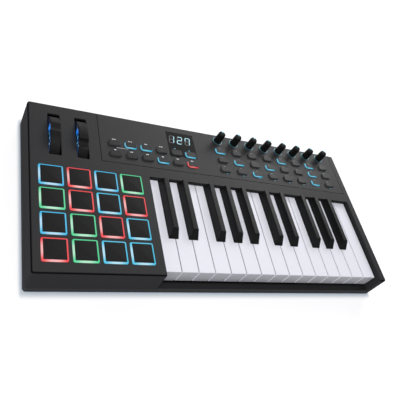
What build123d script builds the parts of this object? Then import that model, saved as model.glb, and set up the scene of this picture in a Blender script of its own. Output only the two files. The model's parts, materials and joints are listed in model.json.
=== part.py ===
"""Twenty-five key controller keyboard, built as an assembly of separate pieces.

Units are millimetres. The frame has its origin under the middle of the keyboard, on the
surface it stands on: +X runs towards the high keys, +Y to the rear and +Z up.
Widths are laid out from the case's left edge, depths from its front edge.
"""
from build123d import *
import math
import os

os.makedirs("parts", exist_ok=True)

# ------------------------------------------------------------------ keybed dimensions
octave_width = 164.5            # seven white keys side by side
octave_count = 2
key_gap = 0.9                   # between two white keys
black_slot = 14.0               # room left between two white necks for a black key
black_clearance = 0.5           # each side of a black key
keybed_side_gap = 1.1           # case wall to the first and last key's boundary
key_front_setback = 9.0         # case front to the white keys' front faces
key_visible_length = 134.0      # white key front to the case's rear edge of the opening
white_front_height = 22.8       # front face of a white key
key_body_height = 8.3           # thickness of a key's body behind its front skirt
key_skin = 2.2                  # top and side skins of the hollow keys
key_edge_radius = 0.8
black_front_offset = 47.0       # white key front to black key front
black_height = 11.3             # black key above the white ones
black_top_width = 7.6
black_front_slope = 8.5         # how far the black key's nose leans back
black_edge_radius = 1.0
key_drop = 7.2                  # case top to the white keys' tops
key_dip = 9.0                   # travel at the white key's front edge
key_body_overlap = 7.0          # key body behind the opening's rear edge
key_skirt_depth = 15.0          # solid front skirt of a white key

# ------------------------------------------------------------------ case dimensions
left_block_width = 151.6
right_wall_width = 11.7
strip_depth = 15.7              # case strip between the keys and the control panel
panel_depth = 82.7              # control panel, front seam to the rear edge
case_height = 42.5
case_draft = 1.0                # how far every outer wall leans out, top to bottom
corner_radius = 3.0
edge_radius = 2.3
wall = 2.5
split_height = 7.5              # seam between the shells above the underside
lip_height = 10.0               # front lip in front of the keys
lip_depth = 7.6
lip_flange = 2.0
foot_height = 2.0
foot_radius = 8.0
foot_recess = 0.5
foot_inset_x = 26.0
foot_inset_y = 22.0
flange_wall = 2.0               # hanging wall at the rear of the key opening
key_top_clearance = 1.2

# ------------------------------------------------------------------ control panel
panel_left_overlap = 62.5       # panel seam to the keybed's left wall
panel_right_margin = 11.3       # panel seam to the case's right edge
panel_thickness = 2.4
panel_seam = 0.8
ledge_width = 3.0
ledge_thickness = 1.8
button_width = 16.2
button_depth = 9.4
button_corner = 3.4
button_height = 2.2             # above the panel
button_edge_radius = 0.7
button_clearance = 0.3
button_travel = 1.0
button_over_travel = 0.2        # plunger to the board at full travel
button_plunger_width = 8.0
button_plunger_depth = 5.0
button_web_thickness = 1.2
button_web_reach_x = 2.0        # the strip's web beyond its buttons
button_web_reach_y = 1.8
first_row_offset = 15.3         # panel's front seam to the first button row
row_pitch = 17.4
small_group_margin = 20.3       # panel's left seam to the first column
small_group_pitch = 22.8
small_group_columns = 6
small_group_rows = 2
large_group_margin = 26.6       # panel's right seam to the last column
large_group_pitch = 28.9
large_group_columns = 8
large_group_rows = 3
knob_row_gap = 20.7             # last button row to the knobs
knob_height = 18.5              # above the panel
knob_base_radius = 5.9
knob_top_radius = 5.6
knob_crown = 2.2                # height of the knob's rounded top
knob_rim_radius = 1.8
knob_air = 0.6                  # under the knob's skirt
shaft_radius = 3.0
shaft_clearance = 0.08
bushing_radius = 3.6
bushing_clearance = 0.25
encoder_size = 12.2
encoder_height = 6.5
encoder_bore_floor = 2.5        # encoder's foot to the bottom of its shaft hole
window_width = 43.4
window_depth = 44.7
window_flange = 2.0
window_flange_thickness = 0.8
window_clearance = 0.15
window_front_margin = 5.6       # rear button row's centre to the window's front edge
display_module_width = 38.0
display_module_depth = 19.0
display_module_setback = 4.6    # window's rear edge to the module
display_module_height = 7.0

# ------------------------------------------------------------------ pads
pad_count = 4                   # columns and rows
pad_left = 10.4                 # case edge to the pads
pad_right_margin = 12.35        # pads to the keybed
pad_front = 13.2
pad_depth = 28.5
pad_gap_x = 4.95
pad_gap_y = 4.6
pad_corner = 2.0
pad_height = 1.4                # above the case
pad_slope_width = 1.85          # sloping rim round a pad's top
pad_slope_height = 0.9
pad_top_corner = 0.9
pad_clearance = 0.3
pad_travel = 1.0
pad_web_reach = 1.6             # the strip's web beyond the pads
pad_web_thickness = 1.5
pad_plunger_radius = 7.0
pad_over_travel = 0.1           # plunger to its sensor at full travel
pad_sensor_radius = 9.0
pad_sensor_height = 0.3
pad_lamp_width = 3.5
pad_lamp_depth = 2.8
pad_lamp_height = 1.4
pad_lamp_inset = 3.0            # pad's corner to its lamp's centre

# ------------------------------------------------------------------ wheels
wheel_centre_offsets = (31.5, 66.0)     # from the case's left edge
slot_width = 15.5
slot_length = 67.0
slot_corner = 1.5
slot_centre_from_front = 191.9
wheel_axis_offset = 1.2         # wheel axis behind the slot's middle
wheel_axis_height = 7.6         # above the case floor
wheel_rise = 9.4                # above the case top
wheel_rim = 8.0
wheel_width = 12.8
wheel_half_angle = 65.0
wheel_web = 4.0
wheel_hub_radius = 5.2
wheel_edge_radius = 1.2
notch_depth = 3.0
notch_half_width = 7.5
notch_angles = (4.0, -22.0)     # pitch wheel, modulation wheel; + is to the rear
mod_rest_lean = -25.0           # the modulation wheel rests at the front end of its travel
light_ring_thickness = 0.7
light_ring_inset = 1.6          # tread to the light ring's outer edge
wheel_web_trim = 8.0            # degrees the web stops short of the rim's ends
wheel_hub_reach = 0.4           # hub beyond the rim, each side
axle_reach = 3.0                # axle beyond the cradle's left plate
cradle_plate = 2.0
cradle_gap = 2.0                # wheel to side plate
cradle_base = 2.0               # thickness of the cradle's foot plate
cradle_base_half_depth = 14.0
cradle_plate_half_depth = 9.0
cradle_plate_rise = 9.0         # side plates above the axle
sensor_width = 6.0              # position sensor left of each wheel
sensor_half_depth = 8.0

# ------------------------------------------------------------------ keyboard action
chassis_end_gap = 0.4
deck_drop = 11.0                # key body's underside to the deck
deck_thickness = 2.0
chassis_wall = 2.0
pivot_setback = 54.0            # opening's rear edge to the fulcrum
pivot_rise = 2.95               # tail's underside to the fulcrum's edge
pivot_clearance = 0.05
notch_mouth = 4.2
tail_width = 10.0
tail_reach = 16.0               # tail behind the fulcrum
tail_length = 63.0
ramp_length = 10.0              # slope between the key's body and its tail
tail_drop = 7.5                 # key body's underside to the tail's
tail_thickness = 7.9
tail_taper = 3.0                # how much thinner the tail is at its rear end
comb_width = 2.2
comb_height = 3.0               # comb teeth above the fulcrum's edge
comb_front = 6.5                # comb ahead of the fulcrum
comb_rear = 4.0
fulcrum_half_width = 1.5
fulcrum_edge_height = 4.5       # taper at the top of the blade
spring_floor_drop = 1.5         # case floor to the spring floor's underside
spring_floor_top = 3.5
spring_wall_height = 8.0        # wall behind the springs
spring_bore = 0.9
spring_setback = 10.0           # spring behind the fulcrum
spring_radius = 2.3
spring_wire = 0.5
spring_coils = 14
seat_gap = 0.1
stop_offset = 33.0              # white key front to the hook legs
black_stop_offset = 67.0
felt_thickness = 1.0
hook_width = 6.0
hook_leg = 2.5
hook_foot = 6.5
down_felt_offsets = (24.0, 49.0)
down_felt_heights = (3.0, 4.0)
down_felt_depth = 6.0
contact_setback = 70.0          # row of contacts to the fulcrum
contact_room = 8.0              # key body kept solid ahead of its contact
dome_height = 4.0
dome_width = 8.0
dome_draft = 12.0               # degrees
contact_board_half_depth = 14.0
contact_strip_half_depth = 7.0
contact_strip_thickness = 1.5
chassis_front_setback = 21.0    # white key front to the chassis
chassis_screw_setback = 12.5    # black key's hook to the chassis screws
rib_setback = 6.0               # chassis screws to the rib behind them

# ------------------------------------------------------------------ boards, fasteners
board_thickness = 1.6
solder_gap = 0.05
pad_board_margin_x = 2.4        # pad board beyond the pads
pad_board_margin_y = 1.9
control_board_drop = 8.1        # panel underside to the control board
control_board_margin = 4.0
board_boss_radius = 2.5
pad_board_drop = 9.0            # case plate's underside to the pad board
light_frame_wall = 1.2
light_frame_height = 4.4
screw_radius = 1.5
screw_clearance = 0.05
screw_length = 10.0
screw_head_radius = 2.9
screw_head_height = 2.2
screw_recess = 4.0
screw_post_radius = 4.0
boss_radius = 3.5
boss_inset = 7.0

# ------------------------------------------------------------------ rear sockets
jack_board_left = 282.0
jack_board_right = 492.0
jack_board_depth = 22.0
jack_board_height = 3.9         # above the case floor
jack_positions = (297.0, 325.0)         # 6.35 mm pedal sockets
jack_bore_radius = 3.25
jack_bore_length = 20.0
jack_bushing_radius = 5.5
jack_centre_height = 7.0        # above the socket board
jack_body_width = 15.0
jack_body_height = 14.0
din_positions = (360.0, 388.0)          # round five-pin sockets
din_radius = 7.6
din_centre_height = 8.6         # above the socket board
din_body_width = 20.0
din_body_depth = 13.0
din_body_height = 17.4
din_shell = 1.0
din_core_gap = 1.4              # shell to the core
din_pin_circle = 3.5
din_pin_radius = 0.8
din_depth = 9.0
usb_position = 420.0
usb_width = 12.0
usb_height = 11.0
usb_depth = 14.0
usb_mouth_width = 8.6
usb_mouth_height = 7.8
usb_tongue_width = 5.6
usb_tongue_height = 3.2
usb_mouth_depth = 9.0
dc_position = 446.0
dc_radius = 4.2
dc_centre_height = 5.5          # above the socket board
dc_bore_radius = 3.1
dc_pin_radius = 1.0
dc_body_width = 9.0
dc_body_depth = 13.0
dc_body_height = 11.0
dc_bore_depth = 9.0
switch_position = 472.0
switch_travel = 4.0
switch_body_width = 14.0
switch_body_depth = 9.0
switch_body_height = 11.0
switch_slot_width = 8.6
switch_slot_height = 4.2
switch_slot_floor = 3.4         # housing's foot to the slot
switch_slot_depth = 6.0
slider_width = 4.2
slider_air = 0.2                # slider to the slot all round
slider_chamfer = 0.4
socket_clearance = 0.3

# ------------------------------------------------------------------ derived layout
white_pitch = octave_width / 7
white_key_count = 7 * octave_count + 1
keybed_width = white_key_count * white_pitch + 2 * keybed_side_gap
case_width = left_block_width + keybed_width + right_wall_width
opening_rear = key_front_setback + key_visible_length
panel_front = opening_rear + strip_depth
case_depth = panel_front + panel_depth
draft_angle = math.degrees(math.atan(case_draft / case_height))
keybed_right = left_block_width + keybed_width

case_base = foot_height
floor_top = case_base + wall
split_plane = case_base + split_height
lip_top = case_base + lip_height
case_top = case_base + case_height
plate_underside = case_top - wall
panel_underside = case_top - panel_thickness

key_top = case_top - key_drop
key_bottom = key_top - white_front_height
body_bottom = key_top - key_body_height
body_rear = opening_rear + key_body_overlap
pivot_y = opening_rear + pivot_setback
tail_rear = pivot_y + tail_reach
tail_front = tail_rear - tail_length
ramp_front = tail_front - ramp_length
tail_bottom = body_bottom - tail_drop
tail_top = tail_bottom + tail_thickness
pivot_height = tail_bottom + pivot_rise
deck_top = body_bottom - deck_drop
deck_bottom = deck_top - deck_thickness
foot_top = deck_bottom - felt_thickness - pivot_clearance
foot_bottom = foot_top - 2.0
black_width = black_slot - 2 * black_clearance
black_front = key_front_setback + black_front_offset
black_rear = opening_rear - 1.2
skirt_rear = key_front_setback + key_skirt_depth
contact_depth = pivot_y - contact_setback
hollow_rear = contact_depth - contact_room
chassis_screw_depth = key_front_setback + black_stop_offset + hook_foot + chassis_screw_setback

panel_left = left_block_width - panel_left_overlap
panel_right = case_width - panel_right_margin
panel_opening_left = panel_left + ledge_width
panel_opening_right = panel_right - ledge_width
control_board_top = panel_underside - control_board_drop
small_columns = [panel_left + small_group_margin + i * small_group_pitch
                 for i in range(small_group_columns)]
large_columns = [panel_right - large_group_margin - (large_group_columns - 1 - i) * large_group_pitch
                 for i in range(large_group_columns)]
row_depths = [panel_front + first_row_offset + i * row_pitch for i in range(large_group_rows)]
knob_depth = row_depths[-1] + knob_row_gap
window_x = (small_columns[-1] + small_columns[-2]) / 2
window_front = row_depths[small_group_rows - 1] - window_front_margin
window_y = window_front + window_depth / 2
button_web_top = panel_underside - window_flange_thickness - 0.4
button_web_bottom = button_web_top - button_web_thickness

wheel_axis_y = slot_centre_from_front + wheel_axis_offset
wheel_axis_z = floor_top + wheel_axis_height
wheel_radius = case_top + wheel_rise - wheel_axis_z
pad_board_top = plate_underside - pad_board_drop
pad_width = (left_block_width - pad_left - pad_right_margin - (pad_count - 1) * pad_gap_x) / pad_count
pad_pitch_x = pad_width + pad_gap_x
pad_pitch_y = pad_depth + pad_gap_y
jack_board_top = floor_top + jack_board_height + board_thickness
jack_centre = jack_board_top + jack_centre_height
din_centre = jack_board_top + din_centre_height
dc_centre = jack_board_top + dc_centre_height
rear_inner = case_depth - wall
socket_face = case_depth + 0.3


def across(distance):
    """X coordinate of a distance from the case's left edge."""
    return distance - case_width / 2


def along(distance):
    """Y coordinate of a distance from the case's front edge."""
    return distance - case_depth / 2


def spot(distance_across, distance_along):
    """Point on the plan, from distances off the left and front edges."""
    return (across(distance_across), along(distance_along))


def block(x_range, y_range, z_range, mode=Mode.ADD):
    """Rectangular block in the current part, given by its ranges off the left and front edges."""
    with BuildSketch(Plane.XY.offset(z_range[0])) as outline:
        with Locations(spot(sum(x_range) / 2, sum(y_range) / 2)):
            Rectangle(x_range[1] - x_range[0], y_range[1] - y_range[0])
    extrude(outline.sketch, amount=z_range[1] - z_range[0], mode=mode)


def disc(places, radius, z_range, mode=Mode.ADD):
    """Upright round posts or holes of one radius at plan points."""
    with BuildSketch(Plane.XY.offset(z_range[0])) as outline:
        with Locations(*places):
            Circle(radius)
    extrude(outline.sketch, amount=z_range[1] - z_range[0], mode=mode)


def rear_round(places, height, radius, y_range, mode=Mode.ADD):
    """Round posts or holes that run front to rear."""
    with BuildSketch(Plane.XZ.offset(-along(y_range[0]))) as outline:
        with Locations(*[(across(place), height) for place in places]):
            Circle(radius)
    extrude(outline.sketch, amount=-(y_range[1] - y_range[0]), mode=mode)


def finish(part, name):
    """Label a finished piece and write it out."""
    part.label = name
    export_step(part, f"parts/{name}.step")


# ------------------------------------------------------------------ shared places
case_screw_spots = [
    spot(boss_inset, boss_inset),
    spot(left_block_width - boss_inset, boss_inset),
    spot(boss_inset, opening_rear + boss_inset),
    spot(left_block_width - boss_inset, opening_rear + boss_inset),
    spot(boss_inset, case_depth - boss_inset),
    spot(panel_left - boss_inset + 1.5, case_depth - boss_inset),
    spot(case_width - right_wall_width / 2, boss_inset),
    spot(case_width - right_wall_width / 2, opening_rear - boss_inset),
    spot(case_width - boss_inset, case_depth - boss_inset),
]
chassis_screw_spots = [
    spot(left_block_width + keybed_width * share, chassis_screw_depth)
    for share in (0.06, 0.38, 0.66, 0.94)
]
foot_spots = [
    spot(x, y)
    for x in (foot_inset_x, case_width / 2, case_width - foot_inset_x)
    for y in (foot_inset_y, case_depth - foot_inset_y)
]
pad_board_left = pad_left - pad_board_margin_x
pad_board_right = left_block_width - pad_right_margin + pad_board_margin_x
pad_board_front = pad_front - pad_board_margin_y
pad_board_rear = pad_front + (pad_count - 1) * pad_pitch_y + pad_depth + pad_board_margin_y
pad_post_spots = [
    spot(x, y)
    for x in (pad_board_left + 5, (pad_board_left + pad_board_right) / 2, pad_board_right - 5)
    for y in (pad_board_front + 4, pad_board_rear - 4)
]
control_boss_depths = (panel_front + 6.5, case_depth - 7.9)
control_boss_spots = [
    spot(x, y)
    for x in (panel_left + 7.6, large_columns[0] - 22.5, panel_right - 8.6)
    for y in control_boss_depths
]
pad_centres = [
    [spot(pad_left + pad_width / 2 + column * pad_pitch_x, pad_front + pad_depth / 2 + row * pad_pitch_y)
     for column in range(pad_count)]
    for row in range(pad_count)
]
knob_spots = [spot(column, knob_depth) for column in large_columns]


def button_spots(columns, row):
    """Centres of one row of buttons."""
    return [spot(column, row_depths[row]) for column in columns]


def cut_wall_openings():
    """Cut the rear wall's holes for the sockets and the switch."""
    through = (rear_inner - 1, case_depth + 3)
    mode = Mode.SUBTRACT
    rear_round(jack_positions, jack_centre, jack_bushing_radius + socket_clearance, through, mode)
    rear_round(din_positions, din_centre, din_radius + socket_clearance, through, mode)
    rear_round((dc_position,), dc_centre, dc_radius + socket_clearance, through, mode)
    usb_half = usb_width / 2 + socket_clearance
    block((usb_position - usb_half, usb_position + usb_half), through,
          (jack_board_top, jack_board_top + usb_height + 2 * socket_clearance), mode)
    slot_reach = switch_slot_width / 2 + 0.7
    slot_floor = jack_board_top + switch_slot_floor
    block((switch_position - slot_reach, switch_position + slot_reach), through,
          (slot_floor - 0.1, slot_floor + switch_slot_height + 0.1), mode)


# ------------------------------------------------------------------ upper case shell
with BuildPart() as top_case:
    with BuildSketch(Plane.XY.offset(case_top)):
        RectangleRounded(case_width, case_depth, corner_radius)
    extrude(amount=-(case_height - split_height), taper=-draft_angle)
    fillet(top_case.faces().sort_by(Axis.Z)[-1].edges(), radius=edge_radius)
    key_side = left_block_width - wall
    hollow_heights = (split_plane - 1, plate_underside)
    block((wall, key_side), (wall, rear_inner), hollow_heights, Mode.SUBTRACT)
    block((key_side - 1, case_width - wall), (opening_rear + flange_wall, rear_inner),
          hollow_heights, Mode.SUBTRACT)
    block((keybed_right + wall, case_width - wall), (wall, opening_rear + flange_wall + 1),
          hollow_heights, Mode.SUBTRACT)
    block((left_block_width, keybed_right), (-wall, opening_rear), (0, case_top + wall), Mode.SUBTRACT)
    block((left_block_width, keybed_right), (opening_rear - 1, opening_rear + flange_wall + 1),
          (0, key_top + key_top_clearance), Mode.SUBTRACT)
    # ledge that carries the control panel, then the recess and the opening inside the ledge
    block((panel_left - 1, panel_right + 1), (panel_front - 1, case_depth - 1),
          (panel_underside - ledge_thickness, panel_underside + 0.5))
    block((panel_left, panel_right), (panel_front, case_depth + wall),
          (panel_underside, case_top + 1), Mode.SUBTRACT)
    block((panel_opening_left, panel_opening_right), (panel_front + ledge_width, rear_inner),
          (panel_underside - ledge_thickness - 1, panel_underside + 1), Mode.SUBTRACT)
    # pad and wheel openings
    with BuildSketch(Plane.XY.offset(plate_underside - 1)):
        for pad_row_centres in pad_centres:
            with Locations(*pad_row_centres):
                RectangleRounded(pad_width + 2 * pad_clearance, pad_depth + 2 * pad_clearance,
                                 pad_corner + pad_clearance)
        with Locations(*[spot(offset, slot_centre_from_front) for offset in wheel_centre_offsets]):
            RectangleRounded(slot_width, slot_length, slot_corner)
    extrude(amount=wall + 2, mode=Mode.SUBTRACT)
    disc(case_screw_spots, boss_radius, (split_plane, plate_underside + 0.5))
    disc(case_screw_spots, screw_radius + screw_clearance,
         (split_plane - 1, case_base + screw_recess + screw_length + 2), Mode.SUBTRACT)
    cut_wall_openings()
finish(top_case.part, "top_case")

# ------------------------------------------------------------------ lower case shell
base_grow = 2 * case_draft
split_grow = base_grow * (case_height - split_height) / case_height
with BuildPart() as bottom_case:
    with BuildSketch(Plane.XY.offset(split_plane)):
        RectangleRounded(case_width + split_grow, case_depth + split_grow,
                         corner_radius + split_grow / 2)
    extrude(amount=-split_height, taper=-draft_angle)
    block((wall, case_width - wall), (wall, rear_inner), (floor_top, split_plane + 1), Mode.SUBTRACT)
    # front lip: an upstand with a flange that reaches back to just before the keys
    lip_left = left_block_width + chassis_end_gap
    lip_right = keybed_right - chassis_end_gap
    block((lip_left, lip_right), (-case_draft * 0.8, wall), (split_plane - 1, lip_top))
    block((lip_left, lip_right), (wall - 1, lip_depth), (lip_top - lip_flange, lip_top))
    disc(case_screw_spots, screw_post_radius, (floor_top - 1, split_plane))
    disc(chassis_screw_spots, screw_post_radius, (floor_top - 1, case_base + screw_recess + 1.5))
    disc(pad_post_spots, boss_radius, (floor_top - 1, pad_board_top - board_thickness))
    jack_posts = [
        spot(x, y)
        for x in (jack_board_left + 4, jack_board_right - 4)
        for y in (rear_inner - jack_board_depth + 4, rear_inner - 6)
    ]
    disc(jack_posts, boss_radius, (floor_top - 1, floor_top + jack_board_height))
    all_screws = case_screw_spots + chassis_screw_spots
    disc(all_screws, screw_head_radius + 0.3, (0, case_base + screw_recess), Mode.SUBTRACT)
    disc(all_screws, screw_radius + 0.15, (0, split_plane + 1), Mode.SUBTRACT)
    disc(foot_spots, foot_radius + 0.1, (0, case_base + foot_recess), Mode.SUBTRACT)
finish(bottom_case.part, "bottom_case")

# ------------------------------------------------------------------ feet and screws
with BuildPart() as rubber_feet:
    disc(foot_spots, foot_radius, (0, case_base + foot_recess))
    fillet(rubber_feet.faces().group_by(Axis.Z)[0].edges(), radius=0.6)
finish(rubber_feet.part, "rubber_feet")

with BuildPart() as case_screws:
    head_seat = case_base + screw_recess
    disc(all_screws, screw_radius, (head_seat - 1, head_seat + screw_length))
    disc(all_screws, screw_head_radius, (head_seat - screw_head_height, head_seat))
finish(case_screws.part, "case_screws")

# ------------------------------------------------------------------ control panel and window
window_hole = (window_width + 2 * window_clearance, window_depth + 2 * window_clearance)
button_hole = (button_width + 2 * button_clearance, button_depth + 2 * button_clearance,
               button_corner + button_clearance)
with BuildPart() as control_panel:
    block((panel_left + panel_seam, panel_right - panel_seam), (panel_front + panel_seam, case_depth),
          (panel_underside, case_top))
    fillet(control_panel.faces().sort_by(Axis.Z)[-1].edges().sort_by(Axis.Y)[-1], radius=edge_radius)
    with BuildSketch(Plane.XY.offset(panel_underside - 1)):
        with Locations(*button_spots(small_columns, 0), *button_spots(small_columns[:-2], 1)):
            RectangleRounded(*button_hole)
        for row in range(large_group_rows):
            with Locations(*button_spots(large_columns, row)):
                RectangleRounded(*button_hole)
        with Locations(spot(window_x, window_y)):
            Rectangle(*window_hole)
        with Locations(*knob_spots):
            Circle(bushing_radius + bushing_clearance)
    extrude(amount=panel_thickness + 2, mode=Mode.SUBTRACT)
    disc(control_boss_spots, board_boss_radius, (control_board_top, panel_underside + 0.5))
finish(control_panel.part, "control_panel")

with BuildPart() as display_window:
    with BuildSketch(Plane.XY.offset(panel_underside)):
        with Locations(spot(window_x, window_y)):
            Rectangle(window_width, window_depth)
    extrude(amount=panel_thickness)
    with BuildSketch(Plane.XY.offset(panel_underside)):
        with Locations(spot(window_x, window_y)):
            Rectangle(window_width + 2 * window_flange, window_depth + 2 * window_flange)
    extrude(amount=-window_flange_thickness)
    with BuildSketch(Plane.XY.offset(panel_underside - 2)):
        with Locations(*button_spots(small_columns[-2:], small_group_rows - 1)):
            RectangleRounded(*button_hole)
    extrude(amount=panel_thickness + 4, mode=Mode.SUBTRACT)
finish(display_window.part, "display_window")


# ------------------------------------------------------------------ rubber button strips
def button_row(name, columns, row):
    """One moulded rubber strip: its buttons, the web that joins them and their plungers."""
    spots = button_spots(columns, row)
    depth = row_depths[row]
    with BuildPart() as strip:
        with BuildSketch(Plane.XY.offset(button_web_top)):
            with Locations(*spots):
                RectangleRounded(button_width, button_depth, button_corner)
        extrude(amount=case_top + button_height - button_web_top)
        fillet(strip.faces().group_by(Axis.Z)[-1].edges(), radius=button_edge_radius)
        web_half_depth = button_depth / 2 + button_web_reach_y
        block((columns[0] - button_width / 2 - button_web_reach_x,
               columns[-1] + button_width / 2 + button_web_reach_x),
              (depth - web_half_depth, depth + web_half_depth), (button_web_bottom, button_web_top))
        with BuildSketch(Plane.XY.offset(button_web_bottom)):
            with Locations(*spots):
                Rectangle(button_plunger_width, button_plunger_depth)
        extrude(amount=-(button_web_bottom - control_board_top - button_travel - button_over_travel))
    finish(strip.part, name)


for row in range(small_group_rows):
    button_row(f"button_row_{row + 1}", small_columns, row)
for row in range(large_group_rows):
    button_row(f"button_row_{small_group_rows + row + 1}", large_columns, row)

# ------------------------------------------------------------------ control board
board_left = panel_opening_left + 1
board_right = panel_opening_right - 1
module_rear = window_front + window_depth - display_module_setback
with BuildPart() as control_board:
    block((board_left, board_right),
          (panel_front + control_board_margin, case_depth - control_board_margin),
          (control_board_top - board_thickness, control_board_top))
    disc(control_boss_spots, screw_radius + 0.1,
         (control_board_top - board_thickness - 1, control_board_top + 1), Mode.SUBTRACT)
    seat = control_board_top + solder_gap
    block((window_x - display_module_width / 2, window_x + display_module_width / 2),
          (module_rear - display_module_depth, module_rear), (seat, seat + display_module_height))
    encoder_top = seat + encoder_height
    with BuildSketch(Plane.XY.offset(seat)):
        with Locations(*knob_spots):
            Rectangle(encoder_size, encoder_size)
    extrude(amount=encoder_height)
    disc(knob_spots, bushing_radius, (encoder_top, case_top - 0.2))
    disc(knob_spots, shaft_radius + shaft_clearance,
         (seat + encoder_bore_floor, case_top + 1), Mode.SUBTRACT)
finish(control_board.part, "control_board")


# ------------------------------------------------------------------ knobs
def knob(name, place):
    """Tapered push-on knob with a rounded crown, on its encoder's shaft."""
    skirt = case_top + knob_air
    crown_start = case_top + knob_height - knob_crown
    crown_top = case_top + knob_height
    dome_radius = (knob_top_radius ** 2 + knob_crown ** 2) / (2 * knob_crown)
    dome_centre = crown_top - dome_radius
    half_turn = math.asin(knob_top_radius / dome_radius) / 2
    dome_middle = (dome_radius * math.sin(half_turn), dome_centre + dome_radius * math.cos(half_turn))
    bore = shaft_radius + 0.02
    bore_top = crown_start - 1.0
    shaft_foot = control_board_top + solder_gap + encoder_bore_floor + 0.2
    with BuildPart() as piece:
        with BuildSketch(Plane.XZ):
            with BuildLine():
                Polyline((0, crown_top), (0, bore_top), (bore, bore_top), (bore, skirt),
                         (knob_base_radius, skirt), (knob_top_radius, crown_start))
                ThreePointArc((knob_top_radius, crown_start), dome_middle, (0, crown_top))
            make_face()
        revolve(axis=Axis.Z)
        circles = piece.edges().filter_by(GeomType.CIRCLE)
        rim = circles.filter_by(lambda edge: abs(edge.center().Z - crown_start) < 0.01)
        fillet(rim, radius=knob_rim_radius)
        with BuildSketch(Plane.XY.offset(shaft_foot)):
            Circle(shaft_radius)
        extrude(amount=bore_top - 0.1 - shaft_foot)
    finish(piece.part.moved(Location((place[0], place[1], 0))), name)


for number, place in enumerate(knob_spots, start=1):
    knob(f"knob_{number}", place)


# ------------------------------------------------------------------ pads
def pad_row(name, centres):
    """One moulded strip of pads: sloping rims, web under the case plate, round plungers."""
    pad_top = case_top + pad_height
    slope_start = pad_top - pad_slope_height
    web_top = plate_underside - pad_clearance
    web_bottom = web_top - pad_web_thickness
    pad_bottom = pad_board_top + light_frame_height + pad_travel + 0.2
    plunger_foot = pad_board_top + pad_sensor_height + pad_travel + pad_over_travel
    middle = centres[0][1] + case_depth / 2
    reach = pad_depth / 2 + pad_web_reach
    with BuildPart() as strip:
        with BuildSketch(Plane.XY.offset(pad_bottom)):
            with Locations(*centres):
                RectangleRounded(pad_width, pad_depth, pad_corner)
        extrude(amount=slope_start - pad_bottom)
        for centre in centres:
            with BuildSketch(Plane.XY.offset(slope_start)):
                with Locations(centre):
                    RectangleRounded(pad_width, pad_depth, pad_corner)
            with BuildSketch(Plane.XY.offset(pad_top)):
                with Locations(centre):
                    RectangleRounded(pad_width - 2 * pad_slope_width, pad_depth - 2 * pad_slope_width,
                                     pad_top_corner)
            loft(ruled=True)
        block((pad_left - pad_web_reach, left_block_width - pad_right_margin + pad_web_reach),
              (middle - reach, middle + reach), (web_bottom, web_top))
        disc(centres, pad_plunger_radius, (plunger_foot, pad_bottom + 0.5))
    finish(strip.part, name)


for row in range(pad_count):
    pad_row(f"pad_row_{row + 1}", pad_centres[row])

with BuildPart() as pad_board:
    block((pad_board_left, pad_board_right), (pad_board_front, pad_board_rear),
          (pad_board_top - board_thickness, pad_board_top))
    for pad_row_centres in pad_centres:
        disc(pad_row_centres, pad_sensor_radius, (pad_board_top - 0.5, pad_board_top + pad_sensor_height))
        with BuildSketch(Plane.XY.offset(pad_board_top + solder_gap)):
            with Locations(*[(x - pad_width / 2 + pad_lamp_inset, y - pad_depth / 2 + pad_lamp_inset)
                             for x, y in pad_row_centres]):
                Rectangle(pad_lamp_width, pad_lamp_depth)
        extrude(amount=pad_lamp_height)
finish(pad_board.part, "pad_board")

with BuildPart() as pad_light_frame:
    frame_heights = (pad_board_top, pad_board_top + light_frame_height)
    block((pad_board_left, pad_board_right), (pad_board_front, pad_board_rear), frame_heights)
    for row, pad_row_centres in enumerate(pad_centres):
        with BuildSketch(Plane.XY.offset(pad_board_top - 1)):
            with Locations(*pad_row_centres):
                Rectangle(pad_pitch_x - light_frame_wall, pad_pitch_y - light_frame_wall)
        extrude(amount=light_frame_height + 2, mode=Mode.SUBTRACT)
finish(pad_light_frame.part, "pad_light_frame")


# ------------------------------------------------------------------ wheels
def sector(plane_x, outer, inner, half_angle, thickness, lean, notch_angle=None):
    """Ring sector on the wheel axis from plane_x towards +X, leaning lean degrees to the rear."""
    centre = (along(wheel_axis_y), wheel_axis_z)
    corners = [centre]
    for angle in (lean - half_angle, lean - half_angle / 2, lean, lean + half_angle / 2, lean + half_angle):
        turn = math.radians(angle)
        corners.append((centre[0] + 3 * outer * math.sin(turn), centre[1] + 3 * outer * math.cos(turn)))
    with BuildSketch(Plane.YZ.offset(across(plane_x))) as outline:
        with Locations(centre):
            Circle(outer)
            if inner > 0:
                Circle(inner, mode=Mode.SUBTRACT)
        if notch_angle is not None:
            scoop = (notch_half_width ** 2 + notch_depth ** 2) / (2 * notch_depth)
            reach = outer - notch_depth + scoop
            turn = math.radians(notch_angle)
            with Locations((centre[0] + reach * math.sin(turn), centre[1] + reach * math.cos(turn))):
                Circle(scoop, mode=Mode.SUBTRACT)
        with BuildLine():
            Polyline(*corners, close=True)
        make_face(mode=Mode.INTERSECT)
    extrude(outline.sketch, amount=thickness)


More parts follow.
